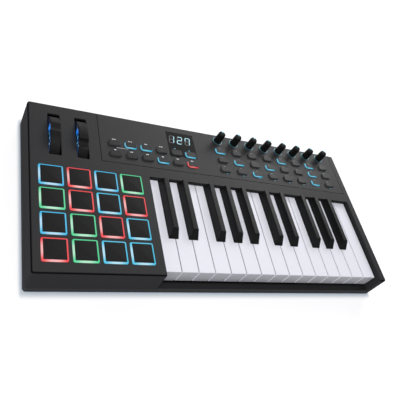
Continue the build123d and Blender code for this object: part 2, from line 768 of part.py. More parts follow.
def control_wheel(name, centre_x, lean, notch_angle):
    """Sector wheel: grip rim with a finger notch, web, hub, axle and a light ring on its left side."""
    left = centre_x - wheel_width / 2
    with BuildPart() as wheel:
        rim_inner = wheel_radius - wheel_rim
        sector(left, wheel_radius, rim_inner, wheel_half_angle, wheel_width, lean, notch_angle)
        grip_edges = wheel.faces().filter_by(Axis.X).edges().filter_by(GeomType.CIRCLE)
        rim_edges = grip_edges.filter_by(lambda edge: edge.radius > wheel_radius - 0.1)
        fillet(rim_edges, radius=wheel_edge_radius)
        sector(centre_x - wheel_web / 2, rim_inner + 1, 0,
               wheel_half_angle - wheel_web_trim, wheel_web, lean)
        with BuildSketch(Plane.YZ.offset(across(left - wheel_hub_reach))):
            with Locations((along(wheel_axis_y), wheel_axis_z)):
                Circle(wheel_hub_radius)
        extrude(amount=wheel_width + 2 * wheel_hub_reach)
        axle_left = left - cradle_gap - cradle_plate - axle_reach
        with BuildSketch(Plane.YZ.offset(across(axle_left))):
            with Locations((along(wheel_axis_y), wheel_axis_z)):
                Circle(shaft_radius)
        extrude(amount=wheel_width + 2 * (cradle_gap + cradle_plate) + axle_reach + 0.5)
        ring_outer = wheel_radius - light_ring_inset
        sector(left - solder_gap - light_ring_thickness, ring_outer, rim_inner,
               wheel_half_angle, light_ring_thickness, lean)
    finish(wheel.part, name)


control_wheel("pitch_wheel", wheel_centre_offsets[0], 0, notch_angles[0])
control_wheel("mod_wheel", wheel_centre_offsets[1], mod_rest_lean, notch_angles[1])

with BuildPart() as wheel_cradle:
    base_top = floor_top + cradle_base
    foot = base_top - 0.5
    plate_depths = (wheel_axis_y - cradle_plate_half_depth, wheel_axis_y + cradle_plate_half_depth)
    sensor_depths = (wheel_axis_y - sensor_half_depth, wheel_axis_y + sensor_half_depth)
    cradle_reach = wheel_width / 2 + cradle_gap + cradle_plate
    block((wheel_centre_offsets[0] - cradle_reach - sensor_width - 0.5,
           wheel_centre_offsets[1] + cradle_reach + 1),
          (wheel_axis_y - cradle_base_half_depth, wheel_axis_y + cradle_base_half_depth),
          (floor_top, base_top))
    for centre_x in wheel_centre_offsets:
        for side in (-1, 1):
            plate_centre = centre_x + side * (cradle_reach - cradle_plate / 2)
            block((plate_centre - cradle_plate / 2, plate_centre + cradle_plate / 2), plate_depths,
                  (foot, wheel_axis_z + cradle_plate_rise))
        sensor_left = centre_x - cradle_reach - sensor_width
        block((sensor_left, sensor_left + sensor_width + 0.2), sensor_depths,
              (foot, wheel_axis_z + cradle_plate_rise - 1))
    for centre_x in wheel_centre_offsets:
        with BuildSketch(Plane.YZ.offset(across(centre_x - cradle_reach - axle_reach - 1))):
            with Locations((along(wheel_axis_y), wheel_axis_z)):
                Circle(shaft_radius + shaft_clearance)
        extrude(amount=2 * cradle_reach + axle_reach + 2, mode=Mode.SUBTRACT)
finish(wheel_cradle.part, "wheel_cradle")

# ------------------------------------------------------------------ key layout
# Each entry: kind, neck's left and right limits, and the limits of the full key.
octave_pattern = "wbwbwwbwbwbw"
cde_neck = (3 * white_pitch - 2 * black_slot) / 3
fb_neck = (4 * white_pitch - 3 * black_slot) / 4
keys = []
first_boundary = left_block_width + keybed_side_gap
cursor = first_boundary
for octave in range(octave_count):
    for position, kind in enumerate(octave_pattern):
        slot = black_slot if kind == "b" else (cde_neck if position < 5 else fb_neck)
        keys.append((kind, cursor, cursor + slot))
        cursor += slot
keys.append(("w", cursor, cursor + white_pitch))
slot_boundaries = [key[1] for key in keys] + [keys[-1][2]]


def tail_profile(front_points):
    """Side view shared by all keys: the given front, then the tail with its fulcrum notch."""
    return front_points + [
        (along(ramp_front), body_bottom),
        (along(tail_front), tail_bottom),
        (along(pivot_y - notch_mouth / 2), tail_bottom),
        (along(pivot_y), pivot_height + pivot_clearance),
        (along(pivot_y + notch_mouth / 2), tail_bottom),
        (along(tail_rear), tail_bottom),
        (along(tail_rear), tail_top - tail_taper),
        (along(body_rear), tail_top),
        (along(body_rear), key_top),
    ]


def side_slab(points, x_range):
    """Slab with the given side view between two distances from the left edge."""
    with BuildSketch(Plane.YZ.offset(across(x_range[0]))) as outline:
        with BuildLine():
            Polyline(*points, close=True)
        make_face()
    extrude(outline.sketch, amount=x_range[1] - x_range[0])


def hook(middle, offset, reach):
    """Leg and foot that hold a key down under the chassis deck."""
    leg = key_front_setback + offset
    sides = (middle - hook_width / 2, middle + hook_width / 2)
    block(sides, (leg, leg + hook_leg), (foot_bottom, reach))
    block(sides, (leg, leg + hook_foot), (foot_bottom, foot_top))


def white_key(name, full, neck):
    """Hollow white key: wide front with its skirt, neck between the black keys, narrow tail."""
    middle = sum(neck) / 2
    front = key_front_setback
    neck_start = black_front - key_gap
    with BuildPart() as key:
        side_slab(tail_profile([
            (along(front), key_top),
            (along(front), key_bottom),
            (along(skirt_rear), key_bottom),
            (along(skirt_rear), body_bottom),
        ]), full)
        with BuildSketch(Plane.XY):
            with Locations(spot(sum(full) / 2, (front + neck_start) / 2)):
                Rectangle(full[1] - full[0], neck_start - front)
            with Locations(spot(middle, (neck_start - 1 + body_rear) / 2)):
                Rectangle(neck[1] - neck[0], body_rear - neck_start + 1)
            with Locations(spot(middle, (neck_start + tail_rear) / 2)):
                Rectangle(tail_width, tail_rear - neck_start)
        extrude(amount=case_top, mode=Mode.INTERSECT)
        top_edges = key.faces().sort_by(Axis.Z)[-1].edges()
        front_edges = key.edges().filter_by(Axis.Z).group_by(Axis.Y)[0]
        fillet(top_edges + front_edges, radius=key_edge_radius)
        ceiling = key_top - key_skin
        block((full[0] + key_skin, full[1] - key_skin), (front + key_skin, neck_start - key_skin),
              (0, ceiling), Mode.SUBTRACT)
        block((neck[0] + key_skin, neck[1] - key_skin),
              (neck_start + key_skin, hollow_rear), (0, ceiling), Mode.SUBTRACT)
        hook(middle, stop_offset, ceiling + 0.5)
    finish(key.part, name)


def black_key(name, slot):
    """Black key: tapered raised top on a body that drops between the white necks."""
    middle = sum(slot) / 2
    sides = (middle - black_width / 2, middle + black_width / 2)
    nose = black_front + black_front_slope
    with BuildPart() as key:
        with BuildSketch(Plane.XY.offset(key_top)):
            with Locations(spot(middle, (black_front + black_rear) / 2)):
                Rectangle(black_width, black_rear - black_front)
        with BuildSketch(Plane.XY.offset(key_top + black_height)):
            with Locations(spot(middle, (nose + black_rear) / 2)):
                Rectangle(black_top_width, black_rear - nose)
        loft()
        fillet(key.faces().sort_by(Axis.Z)[-1].edges(), radius=black_edge_radius)
        block(sides, (black_front, body_rear), (body_bottom, key_top))
        side_slab(tail_profile([
            (along(ramp_front - 10), key_top),
            (along(ramp_front - 10), body_bottom),
        ]), (middle - tail_width / 2, middle + tail_width / 2))
        block((middle - 2.8, middle + 2.8), (nose + 4, hollow_rear),
              (0, key_top + black_height - 4.5), Mode.SUBTRACT)
        hook(middle, black_stop_offset, key_top + black_height - 4)
    finish(key.part, name)


white_number = 0
black_number = 0
for index, (kind, slot_left, slot_right) in enumerate(keys):
    if kind == "b":
        black_number += 1
        black_key(f"black_key_{black_number:02d}", (slot_left, slot_right))
    else:
        boundary = first_boundary + white_number * white_pitch
        full_key = (boundary + key_gap / 2, boundary + white_pitch - key_gap / 2)
        neck = (max(slot_left, full_key[0]), min(slot_right, full_key[1]))
        white_number += 1
        white_key(f"white_key_{white_number:02d}", full_key, neck)

# ------------------------------------------------------------------ key chassis
tail_centres = [(kind, (slot_left + slot_right) / 2) for kind, slot_left, slot_right in keys]
chassis_left = left_block_width + chassis_end_gap
chassis_right = keybed_right - chassis_end_gap
chassis_front = key_front_setback + chassis_front_setback
chassis_rear = tail_rear + 1.5
deck_rear = pivot_y - 6.0
with BuildPart() as key_chassis:
    spread = (chassis_left, chassis_right)
    block(spread, (chassis_front, deck_rear), (deck_bottom, deck_top))
    for depth in (chassis_front, chassis_screw_depth + rib_setback, deck_rear - chassis_wall):
        block(spread, (depth, depth + chassis_wall), (floor_top, deck_bottom + 0.5))
    for edge in (chassis_left, chassis_right - chassis_wall):
        block((edge, edge + chassis_wall), (chassis_front, chassis_rear), (floor_top, deck_top))
    # spring floor and rear wall
    block(spread, (deck_rear - 1, chassis_rear),
          (floor_top + spring_floor_drop, floor_top + spring_floor_top))
    block(spread, (chassis_rear - chassis_wall, chassis_rear), (floor_top, floor_top + spring_wall_height))
    # fulcrum: an upright blade the keys rock on
    side_slab([
        (along(pivot_y - fulcrum_half_width), floor_top),
        (along(pivot_y + fulcrum_half_width), floor_top),
        (along(pivot_y + fulcrum_half_width), pivot_height - fulcrum_edge_height),
        (along(pivot_y), pivot_height),
        (along(pivot_y - fulcrum_half_width), pivot_height - fulcrum_edge_height),
    ], spread)
    # comb teeth between the tails
    for boundary in slot_boundaries[1:-1]:
        block((boundary - comb_width / 2, boundary + comb_width / 2),
              (pivot_y - comb_front, pivot_y + comb_rear), (floor_top + 3, pivot_height + comb_height))
    disc(chassis_screw_spots, screw_post_radius, (case_base + screw_recess + 1.5, deck_top - 0.5))
    disc(chassis_screw_spots, screw_radius + screw_clearance,
         (0, case_base + screw_recess + screw_length + 0.3), Mode.SUBTRACT)
    # windows for the keys' hooks
    with BuildSketch(Plane.XY.offset(deck_bottom - 1)):
        for kind, middle in tail_centres:
            offset = stop_offset if kind == "w" else black_stop_offset
            with Locations(spot(middle, key_front_setback + offset + 1.25)):
                Rectangle(hook_width + 2, hook_leg + 2.5)
    extrude(amount=deck_thickness + 2, mode=Mode.SUBTRACT)
    # felt stops: two strips on the deck, two under it, each a separate strip
    for offset, thickness in zip(down_felt_offsets, down_felt_heights):
        start = key_front_setback + offset
        block((chassis_left + 4, chassis_right - 4), (start, start + down_felt_depth),
              (deck_top + solder_gap, deck_top + thickness))
    for offset in (stop_offset, black_stop_offset):
        start = key_front_setback + offset + hook_leg + 1.6
        block((chassis_left + 4, chassis_right - 4), (start, start + 3.5),
              (deck_bottom - felt_thickness, deck_bottom - solder_gap))
finish(key_chassis.part, "key_chassis")

# ------------------------------------------------------------------ springs
spring_foot = floor_top + spring_floor_top + 0.02
spring_top = tail_bottom - seat_gap
coil_pitch = (spring_top - spring_foot) / spring_coils
with BuildPart() as coil_spring:
    with BuildSketch(Plane.XZ):
        with BuildLine():
            ribs = [(spring_radius - spring_wire, spring_foot)]
            for turn in range(spring_coils):
                level = spring_foot + turn * coil_pitch
                ribs.append((spring_radius, level + coil_pitch / 2))
                ribs.append((spring_radius - spring_wire, level + coil_pitch))
            Polyline(*ribs, (spring_bore, spring_top), (spring_bore, spring_foot), close=True)
        make_face()
    revolve(axis=Axis.Z)
with BuildPart() as key_springs:
    with Locations(*[(*spot(middle, pivot_y + spring_setback), 0) for kind, middle in tail_centres]):
        add(coil_spring.part)
finish(key_springs.part, "key_springs")

# ------------------------------------------------------------------ key contacts
contact_board_top = deck_top + board_thickness
with BuildPart() as key_contact_board:
    block((chassis_left + 3, chassis_right - 3),
          (contact_depth - contact_board_half_depth, contact_depth + contact_board_half_depth),
          (deck_top, contact_board_top))
finish(key_contact_board.part, "key_contact_board")

with BuildPart() as contact_strip:
    strip_top = contact_board_top + contact_strip_thickness
    block((chassis_left + 4, chassis_right - 4),
          (contact_depth - contact_strip_half_depth, contact_depth + contact_strip_half_depth),
          (contact_board_top, strip_top))
    with BuildSketch(Plane.XY.offset(strip_top)):
        with Locations(*[spot(middle, contact_depth) for kind, middle in tail_centres]):
            Rectangle(dome_width, dome_width)
    extrude(amount=dome_height, taper=dome_draft)
finish(contact_strip.part, "contact_strip")

# ------------------------------------------------------------------ rear sockets
board_front = rear_inner - jack_board_depth
board_rear = rear_inner - 0.4
seat = jack_board_top + solder_gap


def socket_body(position, width, depth, height):
    """Housing that stands on the socket board against the rear wall."""
    block((position - width / 2, position + width / 2), (board_rear - depth, board_rear),
          (seat, seat + height))


def rear_slab(position, width, y_range, middle, height, mode=Mode.ADD):
    """Block centred on a socket's position and height."""
    block((position - width / 2, position + width / 2), y_range,
          (middle - height / 2, middle + height / 2), mode)


with BuildPart() as jack_board:
    block((jack_board_left, jack_board_right), (board_front, board_rear),
          (jack_board_top - board_thickness, jack_board_top))
    # pedal sockets
    for place in jack_positions:
        socket_body(place, jack_body_width, board_rear - board_front, jack_body_height)
    rear_round(jack_positions, jack_centre, jack_bushing_radius, (rear_inner - 1, socket_face))
    rear_round(jack_positions, jack_centre, jack_bore_radius,
               (socket_face - jack_bore_length, socket_face + 1), Mode.SUBTRACT)
    # round five-pin sockets: shell, core and pin holes
    for place in din_positions:
        socket_body(place, din_body_width, din_body_depth, din_body_height)
    rear_round(din_positions, din_centre, din_radius, (rear_inner - 1, socket_face))
    rear_round(din_positions, din_centre, din_radius - din_shell,
               (socket_face - din_depth, socket_face + 1), Mode.SUBTRACT)
    rear_round(din_positions, din_centre, din_radius - din_shell - din_core_gap,
               (socket_face - din_depth - 1, socket_face - 1.2))
    for place in din_positions:
        with BuildSketch(Plane.XZ.offset(-along(socket_face + 1))):
            for pin in range(5):
                turn = math.radians(pin * 45)
                with Locations((across(place) + din_pin_circle * math.cos(turn),
                                din_centre - din_pin_circle * math.sin(turn))):
                    Circle(din_pin_radius)
        extrude(amount=din_depth - 1, mode=Mode.SUBTRACT)
    # computer socket: square shell with a tongue
    usb_middle = seat + usb_height / 2
    rear_slab(usb_position, usb_width, (rear_inner - usb_depth, socket_face), usb_middle, usb_height)
    rear_slab(usb_position, usb_mouth_width, (socket_face - usb_mouth_depth, socket_face + 1),
              usb_middle, usb_mouth_height, Mode.SUBTRACT)
    rear_slab(usb_position, usb_tongue_width, (socket_face - usb_mouth_depth - 0.5, socket_face - 1),
              usb_middle, usb_tongue_height)
    # power inlet with its centre pin
    socket_body(dc_position, dc_body_width, dc_body_depth, dc_body_height)
    rear_round((dc_position,), dc_centre, dc_radius, (rear_inner - 1, socket_face))
    rear_round((dc_position,), dc_centre, dc_bore_radius,
               (socket_face - dc_bore_depth, socket_face + 1), Mode.SUBTRACT)
    rear_round((dc_position,), dc_centre, dc_pin_radius,
               (socket_face - dc_bore_depth - 0.5, socket_face - 0.6))
    # switch housing with a slot for its slider
    socket_body(switch_position, switch_body_width, switch_body_depth, switch_body_height)
    slot_middle = seat + switch_slot_floor + switch_slot_height / 2
    rear_slab(switch_position, switch_slot_width, (rear_inner - switch_slot_depth, rear_inner + 1),
              slot_middle, switch_slot_height, Mode.SUBTRACT)
finish(jack_board.part, "jack_board")

slider_middle = switch_position + (switch_slot_width - slider_width) / 2 - slider_air
with BuildPart() as power_switch:
    rear_slab(slider_middle, slider_width, (rear_inner - switch_slot_depth + 0.5, socket_face),
              slot_middle, switch_slot_height - 2 * slider_air)
    ridge_edges = power_switch.faces().sort_by(Axis.Y)[-1].edges()
    chamfer(ridge_edges, length=slider_chamfer)
finish(power_switch.part, "power_switch")
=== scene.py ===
"""Looks and studio for a slab-shaped controller keyboard with pads, buttons, knobs and wheels.

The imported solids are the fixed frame: their shapes stay and only get better finishes. Small visible
parts that a solid leaves plain, such as lit rims, display digits and knob grips, are modelled here.
Distances in the classes are millimetres, and meshes are turned into metres when they are released.
"""
from __future__ import annotations

import json
import logging
import math
from dataclasses import dataclass
from enum import Enum, IntEnum
from typing import Iterable, Optional, Sequence

import bmesh
import bpy
from mathutils import Euler, Matrix, Vector

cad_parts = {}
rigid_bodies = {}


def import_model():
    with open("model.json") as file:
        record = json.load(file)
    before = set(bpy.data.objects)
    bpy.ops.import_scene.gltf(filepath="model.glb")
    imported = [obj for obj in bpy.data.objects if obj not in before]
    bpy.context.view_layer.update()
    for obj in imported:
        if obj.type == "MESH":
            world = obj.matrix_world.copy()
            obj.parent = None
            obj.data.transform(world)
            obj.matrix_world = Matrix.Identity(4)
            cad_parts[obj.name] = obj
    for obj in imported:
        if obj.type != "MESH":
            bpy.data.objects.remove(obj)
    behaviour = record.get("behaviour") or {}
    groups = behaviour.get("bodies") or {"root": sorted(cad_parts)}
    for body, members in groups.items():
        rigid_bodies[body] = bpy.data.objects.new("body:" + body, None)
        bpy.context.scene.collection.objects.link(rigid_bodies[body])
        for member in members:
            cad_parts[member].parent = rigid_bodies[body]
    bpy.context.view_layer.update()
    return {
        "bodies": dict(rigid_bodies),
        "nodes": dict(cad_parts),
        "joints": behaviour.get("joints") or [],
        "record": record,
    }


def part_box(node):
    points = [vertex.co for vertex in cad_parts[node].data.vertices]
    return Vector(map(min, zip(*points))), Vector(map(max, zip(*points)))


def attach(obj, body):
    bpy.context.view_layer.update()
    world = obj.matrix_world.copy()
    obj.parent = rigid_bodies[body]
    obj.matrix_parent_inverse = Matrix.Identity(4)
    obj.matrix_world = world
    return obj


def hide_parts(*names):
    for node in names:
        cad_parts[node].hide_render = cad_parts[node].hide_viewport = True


LOG = logging.getLogger("keyboard")
MM = 0.001
Colour = tuple[float, float, float]


class Lamp(Enum):
    """Colour that a lamp under a pad or button shines in."""

    BLUE = (0.015, 0.33, 0.56)
    CYAN = (0.030, 0.38, 0.56)
    GREEN = (0.040, 0.46, 0.20)
    RED = (0.62, 0.022, 0.030)

    def label(self) -> str:
        """Plain name for materials."""
        return self.name.lower()


def scaled(colour: Colour, share: float, lift: float = 0.0) -> Colour:
    """A colour times a share, with the same lift added to every part."""
    return tuple(part * share + lift for part in colour)


# ---------------------------------------------------------------- shader building
@dataclass(frozen=True)
class Wire:
    """A node output that takes part in Python expressions by adding Math nodes."""

    graph: Graph
    socket: bpy.types.NodeSocket

    def combine(self, operation: str, *others: Wire | float, first: bool = True) -> Wire:
        """Add a Math node with this wire as its first operand, or else as its last one."""
        operands = (self, *others) if first else (*others, self)
        return self.graph.node("ShaderNodeMath", {"operation": operation}, dict(enumerate(operands)))

    def __add__(self, other: Wire | float) -> Wire:
        """Sum."""
        return self.combine("ADD", other)

    __radd__ = __add__

    def __sub__(self, other: Wire | float) -> Wire:
        """Difference."""
        return self.combine("SUBTRACT", other)

    def __rsub__(self, other: Wire | float) -> Wire:
        """Reflected difference."""
        return self.combine("SUBTRACT", other, first=False)

    def __mul__(self, other: Wire | float) -> Wire:
        """Product."""
        return self.combine("MULTIPLY", other)

    __rmul__ = __mul__

    def __pow__(self, other: Wire | float) -> Wire:
        """Power."""
        return self.combine("POWER", other)

    def above(self, limit: float) -> Wire:
        """One where the value is above the limit, else zero."""
        return self.combine("GREATER_THAN", limit)

    def between(self, low: float, high: float) -> Wire:
        """Smooth step from zero at low to one at high."""
        inputs = {"Value": self, "From Min": low, "From Max": high}
        return self.graph.node("ShaderNodeMapRange", {"interpolation_type": "SMOOTHSTEP"}, inputs)

    def size(self) -> Wire:
        """Absolute value."""
        return self.combine("ABSOLUTE")

    def wrapped(self, span: float) -> Wire:
        """Remainder in a repeating span, from zero to the span."""
        return self.combine("WRAP", span, 0.0)


class Graph:
    """The node graph of one material."""

    def __init__(self, name: str) -> None:
        """Start an empty material.

        Args:
            name: material name.
        """
        self.material = bpy.data.materials.new(name)
        self.material.use_nodes = True
        self.tree = self.material.node_tree
        self.tree.nodes.clear()

    def node(self, kind: str, settings: Optional[dict] = None, inputs: Optional[dict] = None,
             output: int | str = 0) -> Wire:
        """Add a node of any kind.

        Args:
            kind: node type.
            settings: node attributes, set before the sockets.
            inputs: numbers, colours or wires by socket name or number.
            output: output socket to return.

        Returns:
            A wire from that output.
        """
        made = self.tree.nodes.new(kind)
        for key, value in (settings or {}).items():
            setattr(made, key, value)
        for key, value in (inputs or {}).items():
            if isinstance(value, Wire):
                self.tree.links.new(value.socket, made.inputs[key])
            else:
                made.inputs[key].default_value = (*value, 1.0) if isinstance(value, tuple) else value
        return Wire(self, made.outputs[output])

    def place(self) -> Wire:
        """Position on the object, in metres in the shared frame."""
        return self.node("ShaderNodeTexCoord", output="Object")

    def axis(self, vector: Wire, letter: str) -> Wire:
        """One component of a vector: X, Y or Z."""
        return self.node("ShaderNodeSeparateXYZ", inputs={0: vector}, output=letter)

    def facing(self, letter: str) -> Wire:
        """One component of the surface normal."""
        return self.axis(self.node("ShaderNodeNewGeometry", output="Normal"), letter)

    def noise(self, scale: float, detail: float = 2.0, rough: float = 0.5) -> Wire:
        """Noise from 0 to 1, by its repeats per metre, octaves and strength of the finer ones."""
        inputs = {"Vector": self.place(), "Scale": scale, "Detail": detail, "Roughness": rough}
        return self.node("ShaderNodeTexNoise", inputs=inputs)

    def cells(self, scale: float, feature: str = "F1") -> Wire:
        """Distance pattern of a cell texture, by its repeats per metre."""
        inputs = {"Vector": self.place(), "Scale": scale}
        return self.node("ShaderNodeTexVoronoi", {"feature": feature}, inputs, output="Distance")

    def blend(self, share: Wire | float, first: Wire | Colour, second: Wire | Colour) -> Wire:
        """Mix two colours; the share is how much of the second one shows."""
        return self.node("ShaderNodeMix", {"data_type": "RGBA"}, {0: share, 6: first, 7: second}, output=2)

    def bump(self, height: Wire, depth: float, strength: float = 1.0) -> Wire:
        """Normal from a height pattern of 0 to 1 that is so many metres deep."""
        inputs = {"Height": height, "Distance": depth, "Strength": strength}
        return self.node("ShaderNodeBump", inputs=inputs)

    def shade(self, **sockets: Wire | float | Colour) -> Wire:
        """Add a Principled shader; underscores in the names stand for spaces."""
        named = {key.replace("_", " "): value for key, value in sockets.items()}
        return self.node("ShaderNodeBsdfPrincipled", inputs=named)

    def shared(self, share: Wire, first: Wire, second: Wire) -> Wire:
        """Mix two shaders; the share is how much of the second one shows."""
        return self.node("ShaderNodeMixShader", inputs={0: share, 1: first, 2: second})

    def finish(self, shader: Wire) -> bpy.types.Material:
        """Connect the shader to the output.

        Args:
            shader: the whole surface.

        Returns:
            The material.
        """
        output = self.tree.nodes.new("ShaderNodeOutputMaterial")
        self.tree.links.new(shader.socket, output.inputs["Surface"])
        return self.material


# ---------------------------------------------------------------- finishes
@dataclass(frozen=True)
class Finish:
    """A finish under the name of its material. Its scales are repeats per metre."""

    name: str

    def build(self) -> bpy.types.Material:
        """Make the material."""
        graph = Graph(self.name)
        return graph.finish(self.surface(graph))

    def surface(self, graph: Graph) -> Wire:
        """Lay out the nodes of the finish; each kind of finish has its own."""
        raise NotImplementedError(self.name)


@dataclass(frozen=True)
class MouldedCase(Finish):
    """Fine-grained dark plastic: satin on top, flat on its walls, with painted shade on round edges and
    walls painted lighter than the top.
    """

    colour: Colour = (0.0165, 0.0165, 0.018)
    painted_lighter_wall_colour: Colour = (0.036, 0.036, 0.038)
    painted_edge_shade_colour: Colour = (0.004, 0.004, 0.0045)
    speck_colour: Colour = (0.05, 0.05, 0.054)
    grain_scale: float = 1400.0
    grain_depth: float = 0.00006

    def lamp_spill(self, graph: Graph) -> dict[str, Wire | float]:
        """Shader inputs for lamp light that falls on the plastic; none here."""
        return {}

    def surface(self, graph: Graph) -> Wire:
        """Lay out the plastic by how far each spot tilts from level.

        Args:
            graph: material in the making.

        Returns:
            The shader.
        """
        grain = graph.noise(self.grain_scale, 3.0, 0.6)
        cloud = graph.noise(9.0, 3.0, 0.5)
        level = graph.facing("Z").size()
        slope = level.between(0.06, 0.30) * (1 - level.between(0.90, 0.995))
        shifted = graph.blend(cloud * 0.35, self.colour, scaled(self.colour, 1.25))
        speckled = graph.blend(grain.between(0.45, 0.75) * 0.15, shifted, self.speck_colour)
        # Painted shade: the rounded edges take a darker colour.
        painted_edge_shaded = graph.blend(slope * 0.95, speckled, self.painted_edge_shade_colour)
        rough = 0.46 + cloud * 0.08 + grain * 0.08 + slope * 0.2
        texture = graph.bump(grain, self.grain_depth, 0.35)
        satin = graph.shade(Base_Color=painted_edge_shaded, Roughness=rough, Specular_IOR_Level=0.28,
                            Normal=texture, **self.lamp_spill(graph))
        # Painted light: the walls take a lighter colour than the top, and their rounded edges keep the
        # painted shade.
        painted_lighter_wall_tone = graph.blend(cloud * 0.3, self.painted_lighter_wall_colour, self.colour)
        flat = graph.shade(Base_Color=graph.blend(slope, painted_lighter_wall_tone, self.painted_edge_shade_colour), Roughness=0.85,
                           Specular_IOR_Level=0.03, Normal=texture)
        return graph.shared(1 - level.between(0.75, 0.97), satin, flat)


@dataclass(frozen=True)
class LampGrid:
    """Equal rounded rectangles that repeat over the top, in millimetres."""

    origin: tuple[float, float]
    pitch: tuple[float, float]
    half_size: tuple[float, float]
    corner: float

    def depth(self, graph: Graph) -> Wire:
        """Distance in from the left and front sides, measured round the corner; negative outside."""
        across, along = ((self.corner * MM - self.inward(graph, index)).combine("MAXIMUM", 0.0)
                         for index in (0, 1))
        return self.corner * MM - (across * across + along * along) ** 0.5

    def inward(self, graph: Graph, index: int) -> Wire:
        """Distance from the low side of the nearest rectangle.

        Args:
            graph: material in the making.
            index: 0 for the left sides, 1 for the front sides.

        Returns:
            The distance in metres, negative outside the rectangle.
        """
        value = graph.axis(graph.place(), "XY"[index])
        start = (self.origin[index] - self.pitch[index] / 2) * MM
        margin = (self.pitch[index] / 2 - self.half_size[index]) * MM
        return (value - start).wrapped(self.pitch[index] * MM) - margin


@dataclass(frozen=True)
class LitCase(MouldedCase):
    """Case plastic with a lamp's light on it, in front and to the left of each rectangle."""

    lamp: Lamp = Lamp.CYAN
    grid: Optional[LampGrid] = None
    reach: float = 1.2

    def lamp_spill(self, graph: Graph) -> dict[str, Wire | float]:
        """Work out the light that fades away from the rectangles.

        Args:
            graph: material in the making.

        Returns:
            Shader inputs by name.
        """
        nearest = self.grid.depth(graph)
        fade = nearest.between(-self.reach * MM, -0.2 * MM) * (1 - nearest.above(0.0))
        return {"Emission_Color": graph.blend(fade, (0.0, 0.0, 0.0), self.lamp.value),
                "Emission_Strength": 1.0}


@dataclass(frozen=True)
class KeyPlastic(Finish):
    """Satin key plastic with faint handling marks, and painted shade on its front and side faces."""

    colour: Colour
    roughness: float
    marks: float
    gloss: float = 0.5
    coat: float = 0.0
    painted_front_shade: float = 0.0
    painted_side_shade: float = 0.0

    def painted_front_shade_share(self, graph: Graph) -> Wire | float:
        """Share of the painted shade on the front faces that each spot takes; all of it here."""
        return 1.0

    def surface(self, graph: Graph) -> Wire:
        """Lay out the plastic, its marks and the painted shade on its front and side faces.

        Args:
            graph: material in the making.

        Returns:
            The shader.
        """
        smear = graph.noise(55.0, 4.0, 0.6).between(0.42, 0.72)
        grain = graph.noise(1100.0, 2.0, 0.5)
        wear_and_painted_highlight = graph.blend(smear * self.marks, self.colour, scaled(self.colour, 0.86))
        # Painted shade: faces that look forward or sideways take a darker colour.
        front = (0 - graph.facing("Y")).between(0.96, 0.995) * self.painted_front_shade_share(graph) * self.painted_front_shade
        side = graph.facing("X").size().between(0.96, 0.995) * self.painted_side_shade
        return graph.shade(
            Base_Color=graph.blend(front + side, wear_and_painted_highlight, scaled(self.colour, 0.5)),
            Roughness=self.roughness + smear * 0.08 + grain * 0.04, Specular_IOR_Level=self.gloss,
            Coat_Weight=self.coat, Coat_Roughness=0.2, Normal=graph.bump(grain, 0.00003, 0.25))


@dataclass(frozen=True)
class WhiteKeyPlastic(KeyPlastic):
    """Key plastic whose painted front shade leaves pale strips along the upright and lower edges of the
    front faces, as painted highlights, in millimetres.
    """

    gap: float = 0.0
    pitch: float = 1.0
    foot: float = 0.0
    line: float = 1.0
    line_fade: float = 0.5
    foot_line: tuple[float, float] = (0.4, 1.2)

    def painted_front_shade_share(self, graph: Graph) -> Wire:
        """Leave out the strips beside the gaps between the keys and along the lower edge, so that they show
        as painted highlights.

        Args:
            graph: material in the making.

        Returns:
            Zero on those strips, one elsewhere.
        """
        place = graph.place()
        half = self.pitch / 2 * MM
        along = (graph.axis(place, "X") - (self.gap * MM - half)).wrapped(self.pitch * MM) - half
        beside = along.size().between(self.line * MM, (self.line + self.line_fade) * MM)
        low, high = ((self.foot + part) * MM for part in self.foot_line)
        return beside * graph.axis(place, "Z").between(low, high)


@dataclass(frozen=True)
class SoftRubber(Finish):
    """Matt rubber or silicone with a fine pitted skin."""

    colour: Colour
    roughness: float = 0.72
    pit_scale: float = 1600.0

    def surface(self, graph: Graph) -> Wire:
        """Lay out the rubber, its pits and its dust.

        Args:
            graph: material in the making.

        Returns:
            The shader.
        """
        dust = graph.noise(140.0, 4.0, 0.65).between(0.5, 0.8)
        base = graph.blend(dust * 0.25, self.colour, scaled(self.colour, 1.6, 0.01))
        return graph.shade(
            Base_Color=base, Roughness=self.roughness + dust * 0.12, Specular_IOR_Level=0.2,
            Normal=graph.bump(graph.cells(self.pit_scale), 0.00004, 0.3))


@dataclass(frozen=True)
class LitSilicone(Finish):
    """Translucent silicone lit from inside, palest half-way along its front and left sides; its rear and
    right sides are painted dim.

    The lamps repeat on a grid, so one finish serves every pad or button of its colour.
    """

    lamp: Lamp
    grid: LampGrid
    band: float
    strength: float
    paleness: float
    painted_dim_far_share: float = 0.2
    band_fade: float = 0.8

    def surface(self, graph: Graph) -> Wire:
        """Lay out the glow by its distance from the near sides and from their middles.

        Args:
            graph: material in the making.

        Returns:
            The shader.
        """
        half = self.grid.half_size
        nearest = self.grid.depth(graph)
        along = self.grid.inward(graph, 0).combine("MAXIMUM", self.grid.inward(graph, 1))
        along = along - sum(half) / 2 * MM
        painted_bright_near_side = 1 - nearest.between(self.band * MM, (self.band + self.band_fade) * MM)
        middle = 1 - along.size().between(0.15 * half[0] * MM, 0.95 * half[0] * MM)
        milky = graph.noise(420.0, 2.0, 0.5) * 0.15
        colour = self.lamp.value
        near_glow = graph.blend((middle + milky) * self.paleness, colour, scaled(colour, 0.45, 0.45))
        # Painted shade: away from the front and left sides the glow drops to a small share.
        glow = graph.blend(painted_bright_near_side, scaled(colour, self.painted_dim_far_share, 0.012), near_glow)
        return graph.shade(
            Base_Color=scaled(colour, 0.3), Roughness=0.45, Specular_IOR_Level=0.3,
            Emission_Color=glow, Emission_Strength=self.strength,
            Normal=graph.bump(graph.noise(900.0), 0.00003, 0.2))


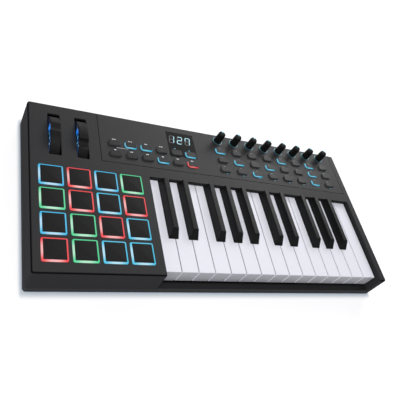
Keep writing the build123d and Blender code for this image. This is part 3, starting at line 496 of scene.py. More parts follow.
@dataclass(frozen=True)
class Glow(Finish):
    """Evenly glowing mark or display segment with a slight unevenness; on printed marks and unlit segments
    the glow is painted light.
    """

    colour: Colour
    strength: float

    def surface(self, graph: Graph) -> Wire:
        """Lay out the glow."""
        shine = graph.blend(graph.noise(260.0, 2.0, 0.5) * 0.3, self.colour, scaled(self.colour, 0.7))
        return graph.shade(Base_Color=scaled(self.colour, 0.6), Roughness=0.4,
                           Emission_Color=shine, Emission_Strength=self.strength)


@dataclass(frozen=True)
class WheelFinish(Finish):
    """Rubber wheel, paler where its tread slopes to the rear as a painted highlight, with a lit ring on its
    left flank.

    The ring glitters blue at the rear, and shows pale dots on the dark in front.
    """

    ring_edge: float
    lit_to: float
    rubber: Colour = (0.0035, 0.0035, 0.004)
    scuffed: Colour = (0.010, 0.010, 0.011)
    wear_and_painted_highlight: Colour = (0.034, 0.034, 0.036)
    dark: Colour = (0.0, 0.001, 0.006)
    deep_blue: Colour = (0.02, 0.24, 0.95)
    pale_blue: Colour = (0.30, 0.66, 0.85)
    front_blue: Colour = (0.0, 0.008, 0.04)
    front_dot: Colour = (0.22, 0.66, 0.80)
    strength: float = 1.9
    edge_overlap: float = 0.02
    dots_end: float = 12.0
    glitter_start: float = 7.0
    fade: float = 4.0

    def surface(self, graph: Graph) -> Wire:
        """Lay out the tread and the ring.

        Args:
            graph: material in the making.

        Returns:
            The shader.
        """
        ring = 1 - graph.axis(graph.place(), "X").above((self.ring_edge - self.edge_overlap) * MM)
        lit = graph.shade(Base_Color=(0.0, 0.01, 0.03), Roughness=0.3,
                          Emission_Color=self._glitter(graph), Emission_Strength=self.strength)
        return graph.shared(ring, self._tread(graph), lit)

    def _tread(self, graph: Graph) -> Wire:
        """Lay out the rubber, with a painted highlight where the tread slopes to the rear.

        Args:
            graph: material in the making.

        Returns:
            The shader.
        """
        rub = graph.noise(90.0, 3.0, 0.6).between(0.4, 0.7)
        skin = graph.blend(rub * 0.2, self.rubber, self.scuffed)
        # Painted highlight: tread that slopes to the rear takes a paler colour.
        skin = graph.blend(graph.facing("Y").between(0.12, 0.75), skin, self.wear_and_painted_highlight)
        return graph.shade(Base_Color=skin, Roughness=0.50 + rub * 0.1, Specular_IOR_Level=0.16,
                           Normal=graph.bump(graph.noise(1300.0, 3.0, 0.6), 0.00003, 0.25))

    def _glitter(self, graph: Graph) -> Wire:
        """Lay out the ring's light.

        Args:
            graph: material in the making.

        Returns:
            The light's colour.
        """
        sparkle = 1 - graph.cells(420.0).between(0.15, 0.6)
        patches = graph.noise(150.0, 2.0, 0.7).between(0.42, 0.54)
        glints = 1 - graph.cells(260.0).between(0.05, 0.28)
        dots = 1 - graph.cells(250.0).between(0.10, 0.30)
        along = graph.axis(graph.place(), "Y")
        rear = along.between((self.lit_to - self.dots_end) * MM, (self.lit_to - self.glitter_start) * MM)
        lit = 1 - along.between((self.lit_to - self.fade) * MM, self.lit_to * MM)
        spark = graph.blend(glints, self.deep_blue, self.pale_blue)
        share = (sparkle * patches + 0.30).combine("MINIMUM", 1.0)
        both = graph.blend(rear, graph.blend(dots, self.front_blue, self.front_dot),
                           graph.blend(share, self.dark, spark))
        return graph.blend(lit, self.dark, both)


@dataclass(frozen=True)
class SmokedWindow(Finish):
    """Smoked plastic, so dark that only lit segments show through."""

    colour: Colour = (0.006, 0.006, 0.007)
    haze_colour: Colour = (0.010, 0.010, 0.011)

    def surface(self, graph: Graph) -> Wire:
        """Lay out the window, its haze and its dust.

        Args:
            graph: material in the making.

        Returns:
            The shader.
        """
        haze = graph.noise(30.0, 3.0, 0.5)
        dust = graph.noise(700.0, 2.0, 0.6).between(0.6, 0.85)
        tint = graph.blend(haze * 0.4, self.colour, self.haze_colour)
        return graph.shade(Base_Color=tint, Roughness=0.36 + haze * 0.06 + dust * 0.1,
                           Specular_IOR_Level=0.05)


@dataclass(frozen=True)
class Board(Finish):
    """Solder mask with darker tracks and lighter spots where parts are soldered."""

    colour: Colour = (0.006, 0.075, 0.030)
    solder: Colour = (0.55, 0.55, 0.52)

    def surface(self, graph: Graph) -> Wire:
        """Lay out the mask, the tracks and the solder.

        Args:
            graph: material in the making.

        Returns:
            The shader.
        """
        track = graph.cells(210.0, "DISTANCE_TO_EDGE").between(0.02, 0.06)
        pad = 1 - graph.cells(330.0).between(0.14, 0.2)
        mask = graph.blend(track * 0.6, scaled(self.colour, 1.9), self.colour)
        return graph.shade(
            Base_Color=graph.blend(pad * 0.8, mask, self.solder), Roughness=0.35 + pad * 0.1,
            Specular_IOR_Level=0.5, Metallic=pad * 0.7, Normal=graph.bump(track, 0.00005, 0.3))


@dataclass(frozen=True)
class DrawnSteel(Finish):
    """Steel wire or blackened screw steel with fine drawing marks."""

    colour: Colour
    roughness: float

    def surface(self, graph: Graph) -> Wire:
        """Lay out the steel, its marks and its stains.

        Args:
            graph: material in the making.

        Returns:
            The shader.
        """
        marks = graph.noise(1900.0, 4.0, 0.7)
        stain = graph.noise(120.0, 3.0, 0.5).between(0.45, 0.75)
        base = graph.blend(stain * 0.35, self.colour, scaled(self.colour, 0.6))
        return graph.shade(Base_Color=base, Metallic=1.0, Roughness=self.roughness + marks * 0.15,
                           Normal=graph.bump(marks, 0.00002, 0.3))


@dataclass(frozen=True)
class StudioFloor(Finish):
    """Pale seamless sheet, softly lit from beneath, with a painted contact shadow close to what stands on
    it, in metres.
    """

    low: tuple[float, float]
    high: tuple[float, float]
    colour: Colour = (0.50, 0.50, 0.515)
    # Colour, reach and side falloff of the painted contact shadow.
    shade: Colour = (0.18, 0.26, 0.34)
    reach: float = 0.010
    painted_shadow_side_falloff: float = 1.9
    light: float = 0.60

    def surface(self, graph: Graph) -> Wire:
        """Lay out the sheet and its painted shadow by the distance from what stands on it.

        Args:
            graph: material in the making.

        Returns:
            The shader.
        """
        place = graph.place()
        aside, along = (self._outside(graph.axis(place, letter), low, high)
                        for letter, low, high in zip("XY", self.low, self.high))
        aside = aside * self.painted_shadow_side_falloff
        # Painted shadow: close to the footprint the floor's glow turns to the shadow colour.
        near = 1 - ((aside * aside + along * along) ** 0.5).between(0.0, self.reach)
        base = graph.blend(graph.noise(60.0, 4.0, 0.6) * 0.2, self.colour, scaled(self.colour, 0.98))
        return graph.shade(Base_Color=base, Roughness=0.9, Specular_IOR_Level=0.1,
                           Emission_Color=graph.blend(near, (1.0, 1.0, 1.0), self.shade),
                           Emission_Strength=self.light)

    @staticmethod
    def _outside(value: Wire, low: float, high: float) -> Wire:
        """Distance outside a span, zero within it."""
        return (value - high).combine("MAXIMUM", 0.0) + (low - value).combine("MAXIMUM", 0.0)


# ---------------------------------------------------------------- mesh building
def add_object(name: str, data: bpy.types.ID) -> bpy.types.Object:
    """Put a mesh, a light or a camera into the scene.

    Args:
        name: name of the new object.
        data: what it shows.

    Returns:
        The new object, at the origin.
    """
    made = bpy.data.objects.new(name, data)
    bpy.context.scene.collection.objects.link(made)
    return made


class Shape:
    """A mesh in the making, shaped with mesh operators, in millimetres."""

    MERGE_DISTANCE = 1e-4

    def __init__(self) -> None:
        """Start with an empty mesh."""
        self.mesh = bmesh.new()

    def block(self, low: Sequence[float], high: Sequence[float]) -> Shape:
        """Add a block between two corners.

        Args:
            low: lowest corner.
            high: highest corner.

        Returns:
            This shape.
        """
        low, high = Vector(low), Vector(high)
        size = Matrix.Diagonal((*(high - low), 1.0))
        bmesh.ops.create_cube(self.mesh, size=1.0, matrix=Matrix.Translation((low + high) / 2) @ size)
        return self

    def bevel(self, chosen: Iterable[bmesh.types.BMEdge], width: float, steps: int) -> Shape:
        """Round edges in so many steps; one step makes a chamfer."""
        bmesh.ops.bevel(self.mesh, geom=list(chosen), offset=width, offset_type="OFFSET",
                        affect="EDGES", segments=steps, profile=0.5, material=-1, clamp_overlap=True)
        return self

    def uprights(self) -> list[bmesh.types.BMEdge]:
        """Edges that run straight up."""
        return [edge for edge in self.mesh.edges
                if (edge.verts[0].co - edge.verts[1].co).xy.length < self.MERGE_DISTANCE]

    def rim(self) -> list[bmesh.types.BMEdge]:
        """Edges round the topmost face."""
        top = self.top()
        return [edge for edge in self.mesh.edges if edge.is_manifold and top in edge.link_faces[:]]

    def top(self) -> bmesh.types.BMFace:
        """The highest face that looks up."""
        upward = [face for face in self.mesh.faces if face.normal.z > 0.99]
        return max(upward, key=lambda face: face.calc_center_median().z)

    def step_in(self, margin: float, rise: float) -> Shape:
        """Inset the top face and lift or sink it.

        Args:
            margin: distance in from the face's outline.
            rise: height change of the inner face.

        Returns:
            This shape.
        """
        self.mesh.normal_update()
        face = self.top()
        bmesh.ops.inset_region(self.mesh, faces=[face], thickness=margin, depth=0.0, use_even_offset=True)
        bmesh.ops.translate(self.mesh, vec=(0.0, 0.0, rise), verts=list(face.verts))
        self.mesh.normal_update()
        return self

    def soft_block(self, foot: float, size: Sequence[float], radius: float, steps: int = 5) -> Shape:
        """Add a block with rounded upright edges about the upright axis.

        Args:
            foot: lowest height.
            size: width, depth and height.
            radius: radius of the upright edges.
            steps: segments of each rounding.

        Returns:
            This shape.
        """
        width, depth, height = size
        self.block((-width / 2, -depth / 2, foot), (width / 2, depth / 2, foot + height))
        self.mesh.normal_update()
        return self.bevel(self.uprights(), radius, steps)

    def open_up(self, margin: float) -> Shape:
        """Cut a hole through the shape that leaves a frame.

        Args:
            margin: width of the frame.

        Returns:
            This shape.
        """
        self.mesh.normal_update()
        ends = [self.top(), min(self.mesh.faces, key=lambda face: face.calc_center_median().z)]
        bmesh.ops.inset_individual(self.mesh, faces=ends, thickness=margin, depth=0.0, use_even_offset=True)
        loops = [edge for face in ends for edge in face.edges]
        bmesh.ops.delete(self.mesh, geom=ends, context="FACES_ONLY")
        bmesh.ops.bridge_loops(self.mesh, edges=loops)
        return self.face_out()

    def face_out(self) -> Shape:
        """Turn every face outwards."""
        bmesh.ops.recalc_face_normals(self.mesh, faces=self.mesh.faces)
        return self

    def turn(self, geometry: list, angle: float, steps: int, merge: bool = False) -> Shape:
        """Spin geometry about the upright axis and close what it sweeps.

        Args:
            geometry: vertices, edges or faces to spin.
            angle: swept angle in radians.
            steps: columns of the sweep.
            merge: whether the last column is the first one.

        Returns:
            This shape.
        """
        bmesh.ops.spin(self.mesh, geom=geometry, cent=(0, 0, 0), axis=(0, 0, 1), angle=angle,
                       steps=steps, use_merge=merge, use_duplicate=False)
        bmesh.ops.remove_doubles(self.mesh, verts=self.mesh.verts, dist=self.MERGE_DISTANCE)
        return self.face_out()

    def lathe(self, outline: Sequence[tuple[float, float]], steps: int) -> Shape:
        """Turn radii and heights, from axis to axis, into a round body of so many columns.

        Args:
            outline: points from the bottom to the top.
            steps: columns round the body.

        Returns:
            This shape.
        """
        verts = [self.mesh.verts.new((radius, 0.0, height)) for radius, height in outline]
        edges = [self.mesh.edges.new(pair) for pair in zip(verts, verts[1:])]
        return self.turn(verts + edges, 2 * math.pi, steps, merge=True)

    def sweep(self, low: Sequence[float], high: Sequence[float], angle: float, steps: int) -> Shape:
        """Sweep an upright rectangle about the upright axis.

        Args:
            low: inner radius and lowest height.
            high: outer radius and highest height.
            angle: swept angle in degrees, centred on +X.
            steps: segments of the sweep.

        Returns:
            This shape.
        """
        corners = ((low[0], low[1]), (high[0], low[1]), (high[0], high[1]), (low[0], high[1]))
        verts = [self.mesh.verts.new((radius, 0.0, height)) for radius, height in corners]
        face = self.mesh.faces.new(verts)
        back = Matrix.Rotation(math.radians(-angle / 2), 4, "Z")
        bmesh.ops.transform(self.mesh, matrix=back, verts=verts)
        start = bmesh.ops.duplicate(self.mesh, geom=[face])["geom"]
        return self.turn(start, math.radians(angle), steps)

    def move(self, matrix: Matrix) -> Shape:
        """Transform the whole shape."""
        bmesh.ops.transform(self.mesh, matrix=matrix, verts=self.mesh.verts)
        return self

    def stamp(self, other: Shape, offset: Sequence[float], material: int = 0) -> Shape:
        """Add a copy of another shape.

        Args:
            other: the shape to copy.
            offset: where the copy's origin goes.
            material: material number for the copy.

        Returns:
            This shape.
        """
        kept = bpy.data.meshes.new("stamp")
        other.mesh.to_mesh(kept)
        old_verts, old_faces = len(self.mesh.verts), len(self.mesh.faces)
        self.mesh.from_mesh(kept)
        bpy.data.meshes.remove(kept)
        self.mesh.verts.ensure_lookup_table()
        self.mesh.faces.ensure_lookup_table()
        bmesh.ops.translate(self.mesh, vec=Vector(offset), verts=self.mesh.verts[old_verts:])
        for face in self.mesh.faces[old_faces:]:
            face.material_index = material
        return self

    def settle(self, name: str, *materials: bpy.types.Material) -> bpy.types.Object:
        """Turn the shape into an object and let go of it.

        Args:
            name: name of the object and its mesh.
            materials: materials by number.

        Returns:
            The new object.
        """
        mesh = bpy.data.meshes.new(name)
        self.mesh.to_mesh(mesh)
        self.mesh.free()
        for material in materials:
            mesh.materials.append(material)
        return add_object(name, mesh)

    def release(self, name: str, body: str, slot: str, materials: Sequence[bpy.types.Material],
                smooth: float = 35.0) -> bpy.types.Object:
        """Turn the shape into a finished piece, in metres, that rides on a body.

        Args:
            name: piece name.
            body: CAD body that it moves with.
            slot: material slot of the record; not used.
            materials: materials by number.
            smooth: angle in degrees under which edges are shaded smooth.

        Returns:
            The new object.
        """
        bmesh.ops.scale(self.mesh, vec=(MM, MM, MM), verts=self.mesh.verts)
        for face in self.mesh.faces:
            face.smooth = True
        for edge in self.mesh.edges:
            edge.smooth = edge.is_manifold and edge.calc_face_angle(0.0) < math.radians(smooth)
        piece = self.settle(name, *materials)
        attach(piece, body)
        LOG.info("made %s, %d faces", name, len(piece.data.polygons))
        return piece


def node_box(node: str) -> tuple[Vector, Vector]:
    """Lowest and highest corner of a CAD node in millimetres."""
    low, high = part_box(node)
    return low / MM, high / MM


# ---------------------------------------------------------------- sub-assemblies
@dataclass
class Assembly:
    """Pieces of the keyboard that are dressed or modelled together."""

    frame: dict

    def dress(self, finish: Finish, *starts: str) -> bpy.types.Material:
        """Give CAD nodes a finish.

        Args:
            finish: the finish.
            starts: names of the nodes, or what the names of several start with.

        Returns:
            The finish's material.
        """
        material = finish.build()
        for node, piece in self.frame["nodes"].items():
            if node.startswith(starts):
                piece.data.materials.clear()
                piece.data.materials.append(material)
                LOG.info("dressed %s in %s", node, material.name)
        return material


@dataclass
class CaseShell(Assembly):
    """Both shells, the control panel, the feet and the screws."""

    def build(self) -> None:
        """Dress the outer pieces."""
        self.dress(MouldedCase("case_moulding"), "top_case")
        # Painted light and shade here too: walls far lighter than the underside, rounded edges darker than
        # the walls.
        self.dress(MouldedCase("lower_case_moulding", (0.009, 0.009, 0.010), (0.056, 0.056, 0.060),
                               (0.012, 0.012, 0.013)), "bottom_case")
        self.dress(MouldedCase("panel_moulding", (0.0195, 0.0195, 0.021)), "control_panel")
        self.dress(SoftRubber("foot_rubber", (0.02, 0.02, 0.02)), "rubber_feet")
        self.dress(DrawnSteel("black_steel", (0.05, 0.05, 0.052), 0.35), "case_screws")


@dataclass
class Keybed(Assembly):
    """White and black keys."""

    def build(self) -> None:
        """Dress the keys."""
        low, high = node_box("white_key_01")
        after, _ = node_box("white_key_02")
        self.dress(WhiteKeyPlastic("white_key_plastic", (0.82, 0.82, 0.90), 0.36, 0.10, gloss=0.25,
                                   coat=0.05, painted_front_shade=0.9, painted_side_shade=0.9,
                                   gap=(high.x + after.x) / 2, pitch=after.x - low.x, foot=low.z),
                   "white_key")
        self.dress(KeyPlastic("black_key_plastic", (0.0085, 0.0085, 0.009), 0.36, 0.35, gloss=0.21,
                              painted_side_shade=0.7), "black_key")


@dataclass
class PadField(Assembly):
    """Rubber pads with a lit rim round each one."""

    size: float = 28.5
    corner: float = 2.0
    web_reach: float = 1.6
    skirt: float = 1.6
    slope_width: float = 1.85
    slope_rise: float = 0.9
    proud: float = 0.06
    recess: float = 0.35
    recess_margin: float = 0.05
    cap_height: float = 0.47
    cap_corner: float = 0.9
    cap_rounding: float = 0.25
    glow_strength: float = 1.15
    paleness: float = 0.78
    lamps: tuple[tuple[Lamp, ...], ...] = (
        (Lamp.RED, Lamp.GREEN, Lamp.CYAN, Lamp.CYAN),
        (Lamp.BLUE, Lamp.GREEN, Lamp.RED, Lamp.CYAN),
        (Lamp.GREEN, Lamp.RED, Lamp.CYAN, Lamp.RED),
        (Lamp.BLUE, Lamp.RED, Lamp.BLUE, Lamp.GREEN),
    )

    def __post_init__(self) -> None:
        """Read the grid from the strips' boxes."""
        rows, columns = len(self.lamps), len(self.lamps[0])
        low, high = node_box("pad_row_1")
        top_low, _ = node_box(f"pad_row_{rows}")
        inset = self.web_reach + self.size / 2
        self.first = (low.x + inset, low.y + inset)
        self.pitch = ((high.x - low.x - 2 * inset) / (columns - 1), (top_low.y - low.y) / (rows - 1))
        self.top = high.z

    def build(self) -> None:
        """Make the rims and caps, and dress the strips."""
        rubber = self.dress(SoftRubber("pad_rubber", (0.0055, 0.0055, 0.006), 0.62), "pad_row")
        half = self.size / 2
        grid = LampGrid(self.first, self.pitch, (half, half), self.corner)
        glows = [LitSilicone(f"pad_glow_{lamp.label()}", lamp, grid, self.slope_width,
                             self.glow_strength, self.paleness).build() for lamp in Lamp]
        rim, cap = self._rim(), self._cap()
        for row, lamps in enumerate(self.lamps):
            rims, caps = Shape(), Shape()
            for column, lamp in enumerate(lamps):
                spot = (self.first[0] + column * self.pitch[0], self.first[1] + row * self.pitch[1], 0.0)
                rims.stamp(rim, spot, list(Lamp).index(lamp))
                caps.stamp(cap, spot)
            body = f"pad_row_{row + 1}"
            rims.release(f"pad_rims_row_{row + 1}", body, "pad_rubber", glows)
            caps.release(f"pad_caps_row_{row + 1}", body, "pad_rubber", [rubber])

    def _rim(self) -> Shape:
        """Shape the lit skirt of a pad: an upright wall, a slope and a recess for the cap.

        Returns:
            The skirt about the upright axis.
        """
        outer = self.size + 2 * self.proud
        foot = self.top - self.slope_rise - self.skirt
        shape = Shape().soft_block(foot, (outer, outer, self.skirt + self.proud), self.corner)
        shape.step_in(self.slope_width, self.slope_rise)
        return shape.step_in(self.recess_margin, -self.recess)

    def _cap(self) -> Shape:
        """Shape the black playing surface with its softened edge.

        Returns:
            The cap about the upright axis.
        """
        width = self.size - 2 * self.slope_width
        shape = Shape().soft_block(self.top - self.recess, (width, width, self.cap_height),
                                   self.cap_corner, 4)
        shape.mesh.normal_update()
        return shape.bevel(shape.rim(), self.cap_rounding, 3)


@dataclass
class ButtonField(Assembly):
    """Rubber buttons with a translucent skirt that shows which ones are lit.

    A lit button also throws light on the panel beside it.
    """

    width: float = 16.2
    depth: float = 9.4
    corner: float = 3.4
    web_reach: float = 2.0
    top_rounding: float = 0.7
    skirt: float = 2.6
    proud: float = 0.2
    recess: float = 0.6
    recess_margin: float = 0.35
    lean_in: float = 0.6
    lean_up: float = 0.75
    clearance: float = 0.32
    spill: float = 1.0
    spill_height: float = 0.04
    spill_sunk: float = 0.01
    glow_band: float = 1.5
    glow_strength: float = 1.05
    paleness: float = 0.32
    row_spacing: float = 40.0
    counts: tuple[int, ...] = (6, 6, 8, 8, 8)
    lit: tuple[dict, ...] = (
        {3: Lamp.CYAN, 5: Lamp.RED},
        {1: Lamp.CYAN, 2: Lamp.CYAN, 5: Lamp.CYAN},
        {2: Lamp.CYAN, 6: Lamp.CYAN},
        {1: Lamp.CYAN, 3: Lamp.CYAN, 6: Lamp.CYAN},
        {0: Lamp.CYAN, 4: Lamp.CYAN, 6: Lamp.CYAN},
    )

    def centres(self, row: int) -> list[Vector]:
        """Button centres of a row at the buttons' top height.

        Args:
            row: row number from zero.

        Returns:
            One point per button.
        """
        low, high = node_box(f"button_row_{row + 1}")
        first = low.x + self.web_reach + self.width / 2
        last = high.x - self.web_reach - self.width / 2
        step = (last - first) / (self.counts[row] - 1)
        middle = (low.y + high.y) / 2
        return [Vector((first + step * number, middle, high.z)) for number in range(self.counts[row])]

    def build(self) -> None:
        """Make the skirts and dress the strips."""
        # Painted light: the unlit skirts are far lighter than the buttons' rubber, which lifts the shade on
        # their walls.
        unlit = SoftRubber("button_skirt_dark", (0.060, 0.060, 0.063), 0.6).build()
        self.dress(SoftRubber("button_rubber", (0.019, 0.019, 0.0205), 0.42), "button_row")
        for row in range(len(self.counts)):
            self._row(row, unlit)

    def _row(self, row: int, unlit: bpy.types.Material) -> None:
        """Make one row's skirts and the light round its lit buttons.

        Args:
            row: row number from zero.
            unlit: material of the skirts that are not lit, painted lighter than the buttons' rubber.
        """
        places = self.centres(row)
        pitch = (places[1].x - places[0].x, self.row_spacing)
        grid = LampGrid(tuple(places[0].xy), pitch, (self.width / 2, self.depth / 2), self.corner)
        lamps = sorted(set(self.lit[row].values()), key=Lamp.label)
        glows = [LitSilicone(f"button_glow_{lamp.label()}_{row + 1}", lamp, grid, self.glow_band,
                             self.glow_strength, self.paleness).build() for lamp in lamps]
        spills = [LitCase(f"button_spill_{lamp.label()}_{row + 1}", lamp=lamp, grid=grid,
                          reach=self.spill).build() for lamp in lamps]
        _, panel = node_box("control_panel")
        skirt, halo = self._skirt(), self._halo()
        skirts, halos = Shape(), Shape()
        for number, place in enumerate(places):
            lamp = self.lit[row].get(number)
            skirts.stamp(skirt, place, 1 + lamps.index(lamp) if lamp else 0)
            if lamp:
                halos.stamp(halo, (place.x, place.y, panel.z), lamps.index(lamp))
        skirts.release(f"button_skirts_row_{row + 1}", f"button_row_{row + 1}", "button_rubber",
                       [unlit, *glows])
        halos.release(f"button_light_row_{row + 1}", "case", "panel_plastic", spills)

    def _skirt(self) -> Shape:
        """Shape the skirt round a button, which leans in over the cap's rounding.

        Returns:
            The skirt about the upright axis, below the button's top.
        """
        size = (self.width + 2 * self.proud, self.depth + 2 * self.proud, self.skirt)
        shape = Shape().soft_block(-self.top_rounding - self.skirt, size, self.corner + self.proud)
        shape.step_in(self.top_rounding * self.lean_in, self.top_rounding * self.lean_up)
        return shape.step_in(self.recess_margin, -self.recess)

    def _halo(self) -> Shape:
        """Shape the thin sheet on the panel round a button's hole, which carries the painted spill of its
        light.

        Returns:
            The frame about the upright axis.
        """
        grow = 2 * (self.clearance + self.spill)
        size = (self.width + grow, self.depth + grow, self.spill_height)
        return Shape().soft_block(-self.spill_sunk, size, self.corner + grow / 2).open_up(self.spill)


@dataclass
class DisplayUnit(Assembly):
    """Smoked window with three lit digits and faint unlit segments."""

    digit_height: float = 14.2
    digit_width: float = 8.3
    digit_pitch: float = 12.65
    stroke: float = 1.35
    stroke_gap: float = 0.25
    chamfer_share: float = 0.42
    slant: float = 0.17
    thickness: float = 0.12
    proud: float = 0.02
    middle_offset: tuple[float, float] = (-1.5, 8.4)
    shown: tuple[str, ...] = ("bc", "abdeg", "abcf")

    def build(self) -> None:
        """Make the digits and dress the window."""
        self.dress(SmokedWindow("smoked_window"), "display_window")
        low, high = node_box("display_window")
        centre = (low + high) / 2
        y, z = centre.y + self.middle_offset[1], high.z + self.proud - self.thickness
        lit, unlit = Shape(), Shape()
        for number, segments in enumerate(self.shown):
            x = centre.x + self.middle_offset[0] + (number - 1) * self.digit_pitch
            for letter, bar in self._bars().items():
                (lit if letter in segments else unlit).stamp(bar, (x, y, z))
        shine = Glow("digit_glow", (0.28, 0.50, 0.58), 0.98).build()
        # Painted light: the unlit segments get a faint glow of their own.
        unlit_painted_glow = Glow("digit_ghost", (0.022, 0.024, 0.026), 1.0).build()
        lit.release("display_digits", "case", "window", [shine])
        unlit.release("display_unlit_segments", "case", "window", [unlit_painted_glow])

    def _bars(self) -> dict[str, Shape]:
        """Shape the seven slanted bars of a digit.

        Returns:
            Each bar in its place about the digit's centre, by segment letter.
        """
        across, up = self.digit_width / 2 - self.stroke / 2, self.digit_height / 2 - self.stroke / 2
        flat = (2 * across - 2 * self.stroke_gap, self.stroke)
        tall = (self.stroke, up - 2 * self.stroke_gap)
        layout = {"a": (0, up, flat), "g": (0, 0, flat), "d": (0, -up, flat),
                  "b": (across, up / 2, tall), "c": (across, -up / 2, tall),
                  "f": (-across, up / 2, tall), "e": (-across, -up / 2, tall)}
        lean = Matrix.Identity(4)
        lean[0][1] = self.slant
        bars = {}
        for letter, (x, y, (width, depth)) in layout.items():
            bar = Shape().block((x - width / 2, y - depth / 2, 0.0),
                                (x + width / 2, y + depth / 2, self.thickness))
            bar.bevel(bar.uprights(), self.stroke * self.chamfer_share, 1)
            bars[letter] = bar.move(lean)
        return bars


class Ink(IntEnum):
    """Material numbers of the printed marks."""

    WHITE = 0
    CYAN = 1
    BRIGHT = 2


@dataclass
class PanelMarks(Assembly):
    """Small plain marks on the panel: dashes and dots by the buttons, rings round the knobs."""

    buttons: ButtonField
    thickness: float = 0.06
    sunk: float = 0.01
    mark_depth: float = 1.25
    mark_fill: float = 0.7
    mark_offsets: tuple[float, ...] = (6.5, 7.2, 6.0, 6.0, 6.0)
    mark_lengths: tuple[float, ...] = (4.0, 6.0, 3.0, 4.0, 5.0)
    low_mark: tuple[float, float] = (1.5, -6.8)
    window_mark: tuple[float, float] = (-0.8, 8.2)
    short_length: float = 2.6
    bracket: tuple[float, float] = (16.0, 0.6)
    bracket_offset: tuple[float, float] = (-1.0, -6.6)
    first_in_window: int = 4
    ring_radius: float = 7.2
    ring_steps: int = 12
    # Middle and span of each arc in degrees, its width and its material number.
    arcs: tuple[tuple[float, float, float, int], ...] = (
        (155.0, 92.0, 0.75, 0), (-24.0, 56.0, 0.7, 0), (252.0, 108.0, 0.35, 1))

    def build(self) -> None:
        """Make the printed marks and the lit rings."""
        _, high = node_box("control_panel")
        self.level = high.z - self.sunk
        # Painted light: the printed marks glow, which makes them brighter than lit print.
        white_print_with_painted_glow = Glow("mark_white", (0.66, 0.66, 0.68), 0.38).build()
        bright_print_with_painted_glow = Glow("mark_bright", (0.80, 0.80, 0.82), 1.0).build()
        print_cyan = Glow("mark_cyan", (0.05, 0.30, 0.40), 0.45).build()
        marks, window_marks = Shape(), Shape()
        for row, (offset, length) in enumerate(zip(self.mark_offsets, self.mark_lengths)):
            for number, place in enumerate(self.buttons.centres(row)):
                if row != 1 or number < self.first_in_window:
                    self._words(marks, Vector((place.x, place.y + offset)), length, number + row,
                                Ink.WHITE if row else Ink.BRIGHT)
        for place in self.buttons.centres(2):
            self._dash(marks, place.xy + Vector(self.low_mark), self.short_length, Ink.CYAN)
        second_row = self.buttons.centres(1)
        middle = (second_row[0].xy + second_row[1].xy) / 2
        self._dash(marks, middle + Vector(self.bracket_offset), self.bracket[0], Ink.WHITE, self.bracket[1])
        for place in second_row[self.first_in_window:]:
            self._dash(window_marks, place.xy + Vector(self.window_mark), self.short_length)
        marks.release("panel_marks", "case", "panel_plastic", [white_print_with_painted_glow, print_cyan, bright_print_with_painted_glow])
        window_marks.release("window_marks", "case", "window", [print_cyan])
        self._knob_rings(print_cyan)

    def _words(self, marks: Shape, place: Vector, length: float, variant: int, ink: int) -> None:
        """Add one to three dashes in a row that stand for a printed symbol.

        Args:
            marks: shape that the dashes go into.
            place: middle of the row on the plan.
            length: length of the row.
            variant: number that picks how many dashes there are.
            ink: material number.
        """
        parts = 1 + variant % 3
        step = length / parts
        for number in range(parts):
            spot = Vector((place.x + (number - (parts - 1) / 2) * step, place.y))
            self._dash(marks, spot, step * self.mark_fill, ink)

    def _dash(self, marks: Shape, place: Vector, length: float, ink: int = 0,
              depth: Optional[float] = None) -> None:
        """Add one dash.

        Args:
            marks: shape that the dash goes into.
            place: middle of the dash on the plan.
            length: its length from left to right.
            ink: material number.
            depth: its size from front to rear, if it isn't the usual one.
        """
        half = (depth or self.mark_depth) / 2
        dash = Shape().block((-length / 2, -half, 0), (length / 2, half, self.thickness))
        marks.stamp(dash, (*place, self.level), ink)

    def _knob_rings(self, faint: bpy.types.Material) -> None:
        """Make the lit ring round every knob: two bright arcs and a thin one in front.

        Args:
            faint: material of the thin arc.
        """
        rings = Shape()
        for middle, span, width, tint in self.arcs:
            arc = Shape().sweep((self.ring_radius - width / 2, 0.0),
                                (self.ring_radius + width / 2, self.thickness), span, self.ring_steps)
            arc.move(Matrix.Rotation(math.radians(middle), 4, "Z"))
            for number in range(1, KnobBank.count + 1):
                low, high = node_box(f"knob_{number}")
                rings.stamp(arc, (*((low + high) / 2).xy, self.level), tint)
        bright = Glow("ring_cyan", (0.07, 0.27, 0.32), 0.66).build()
        rings.release("knob_rings", "case", "panel_plastic", [bright, faint])


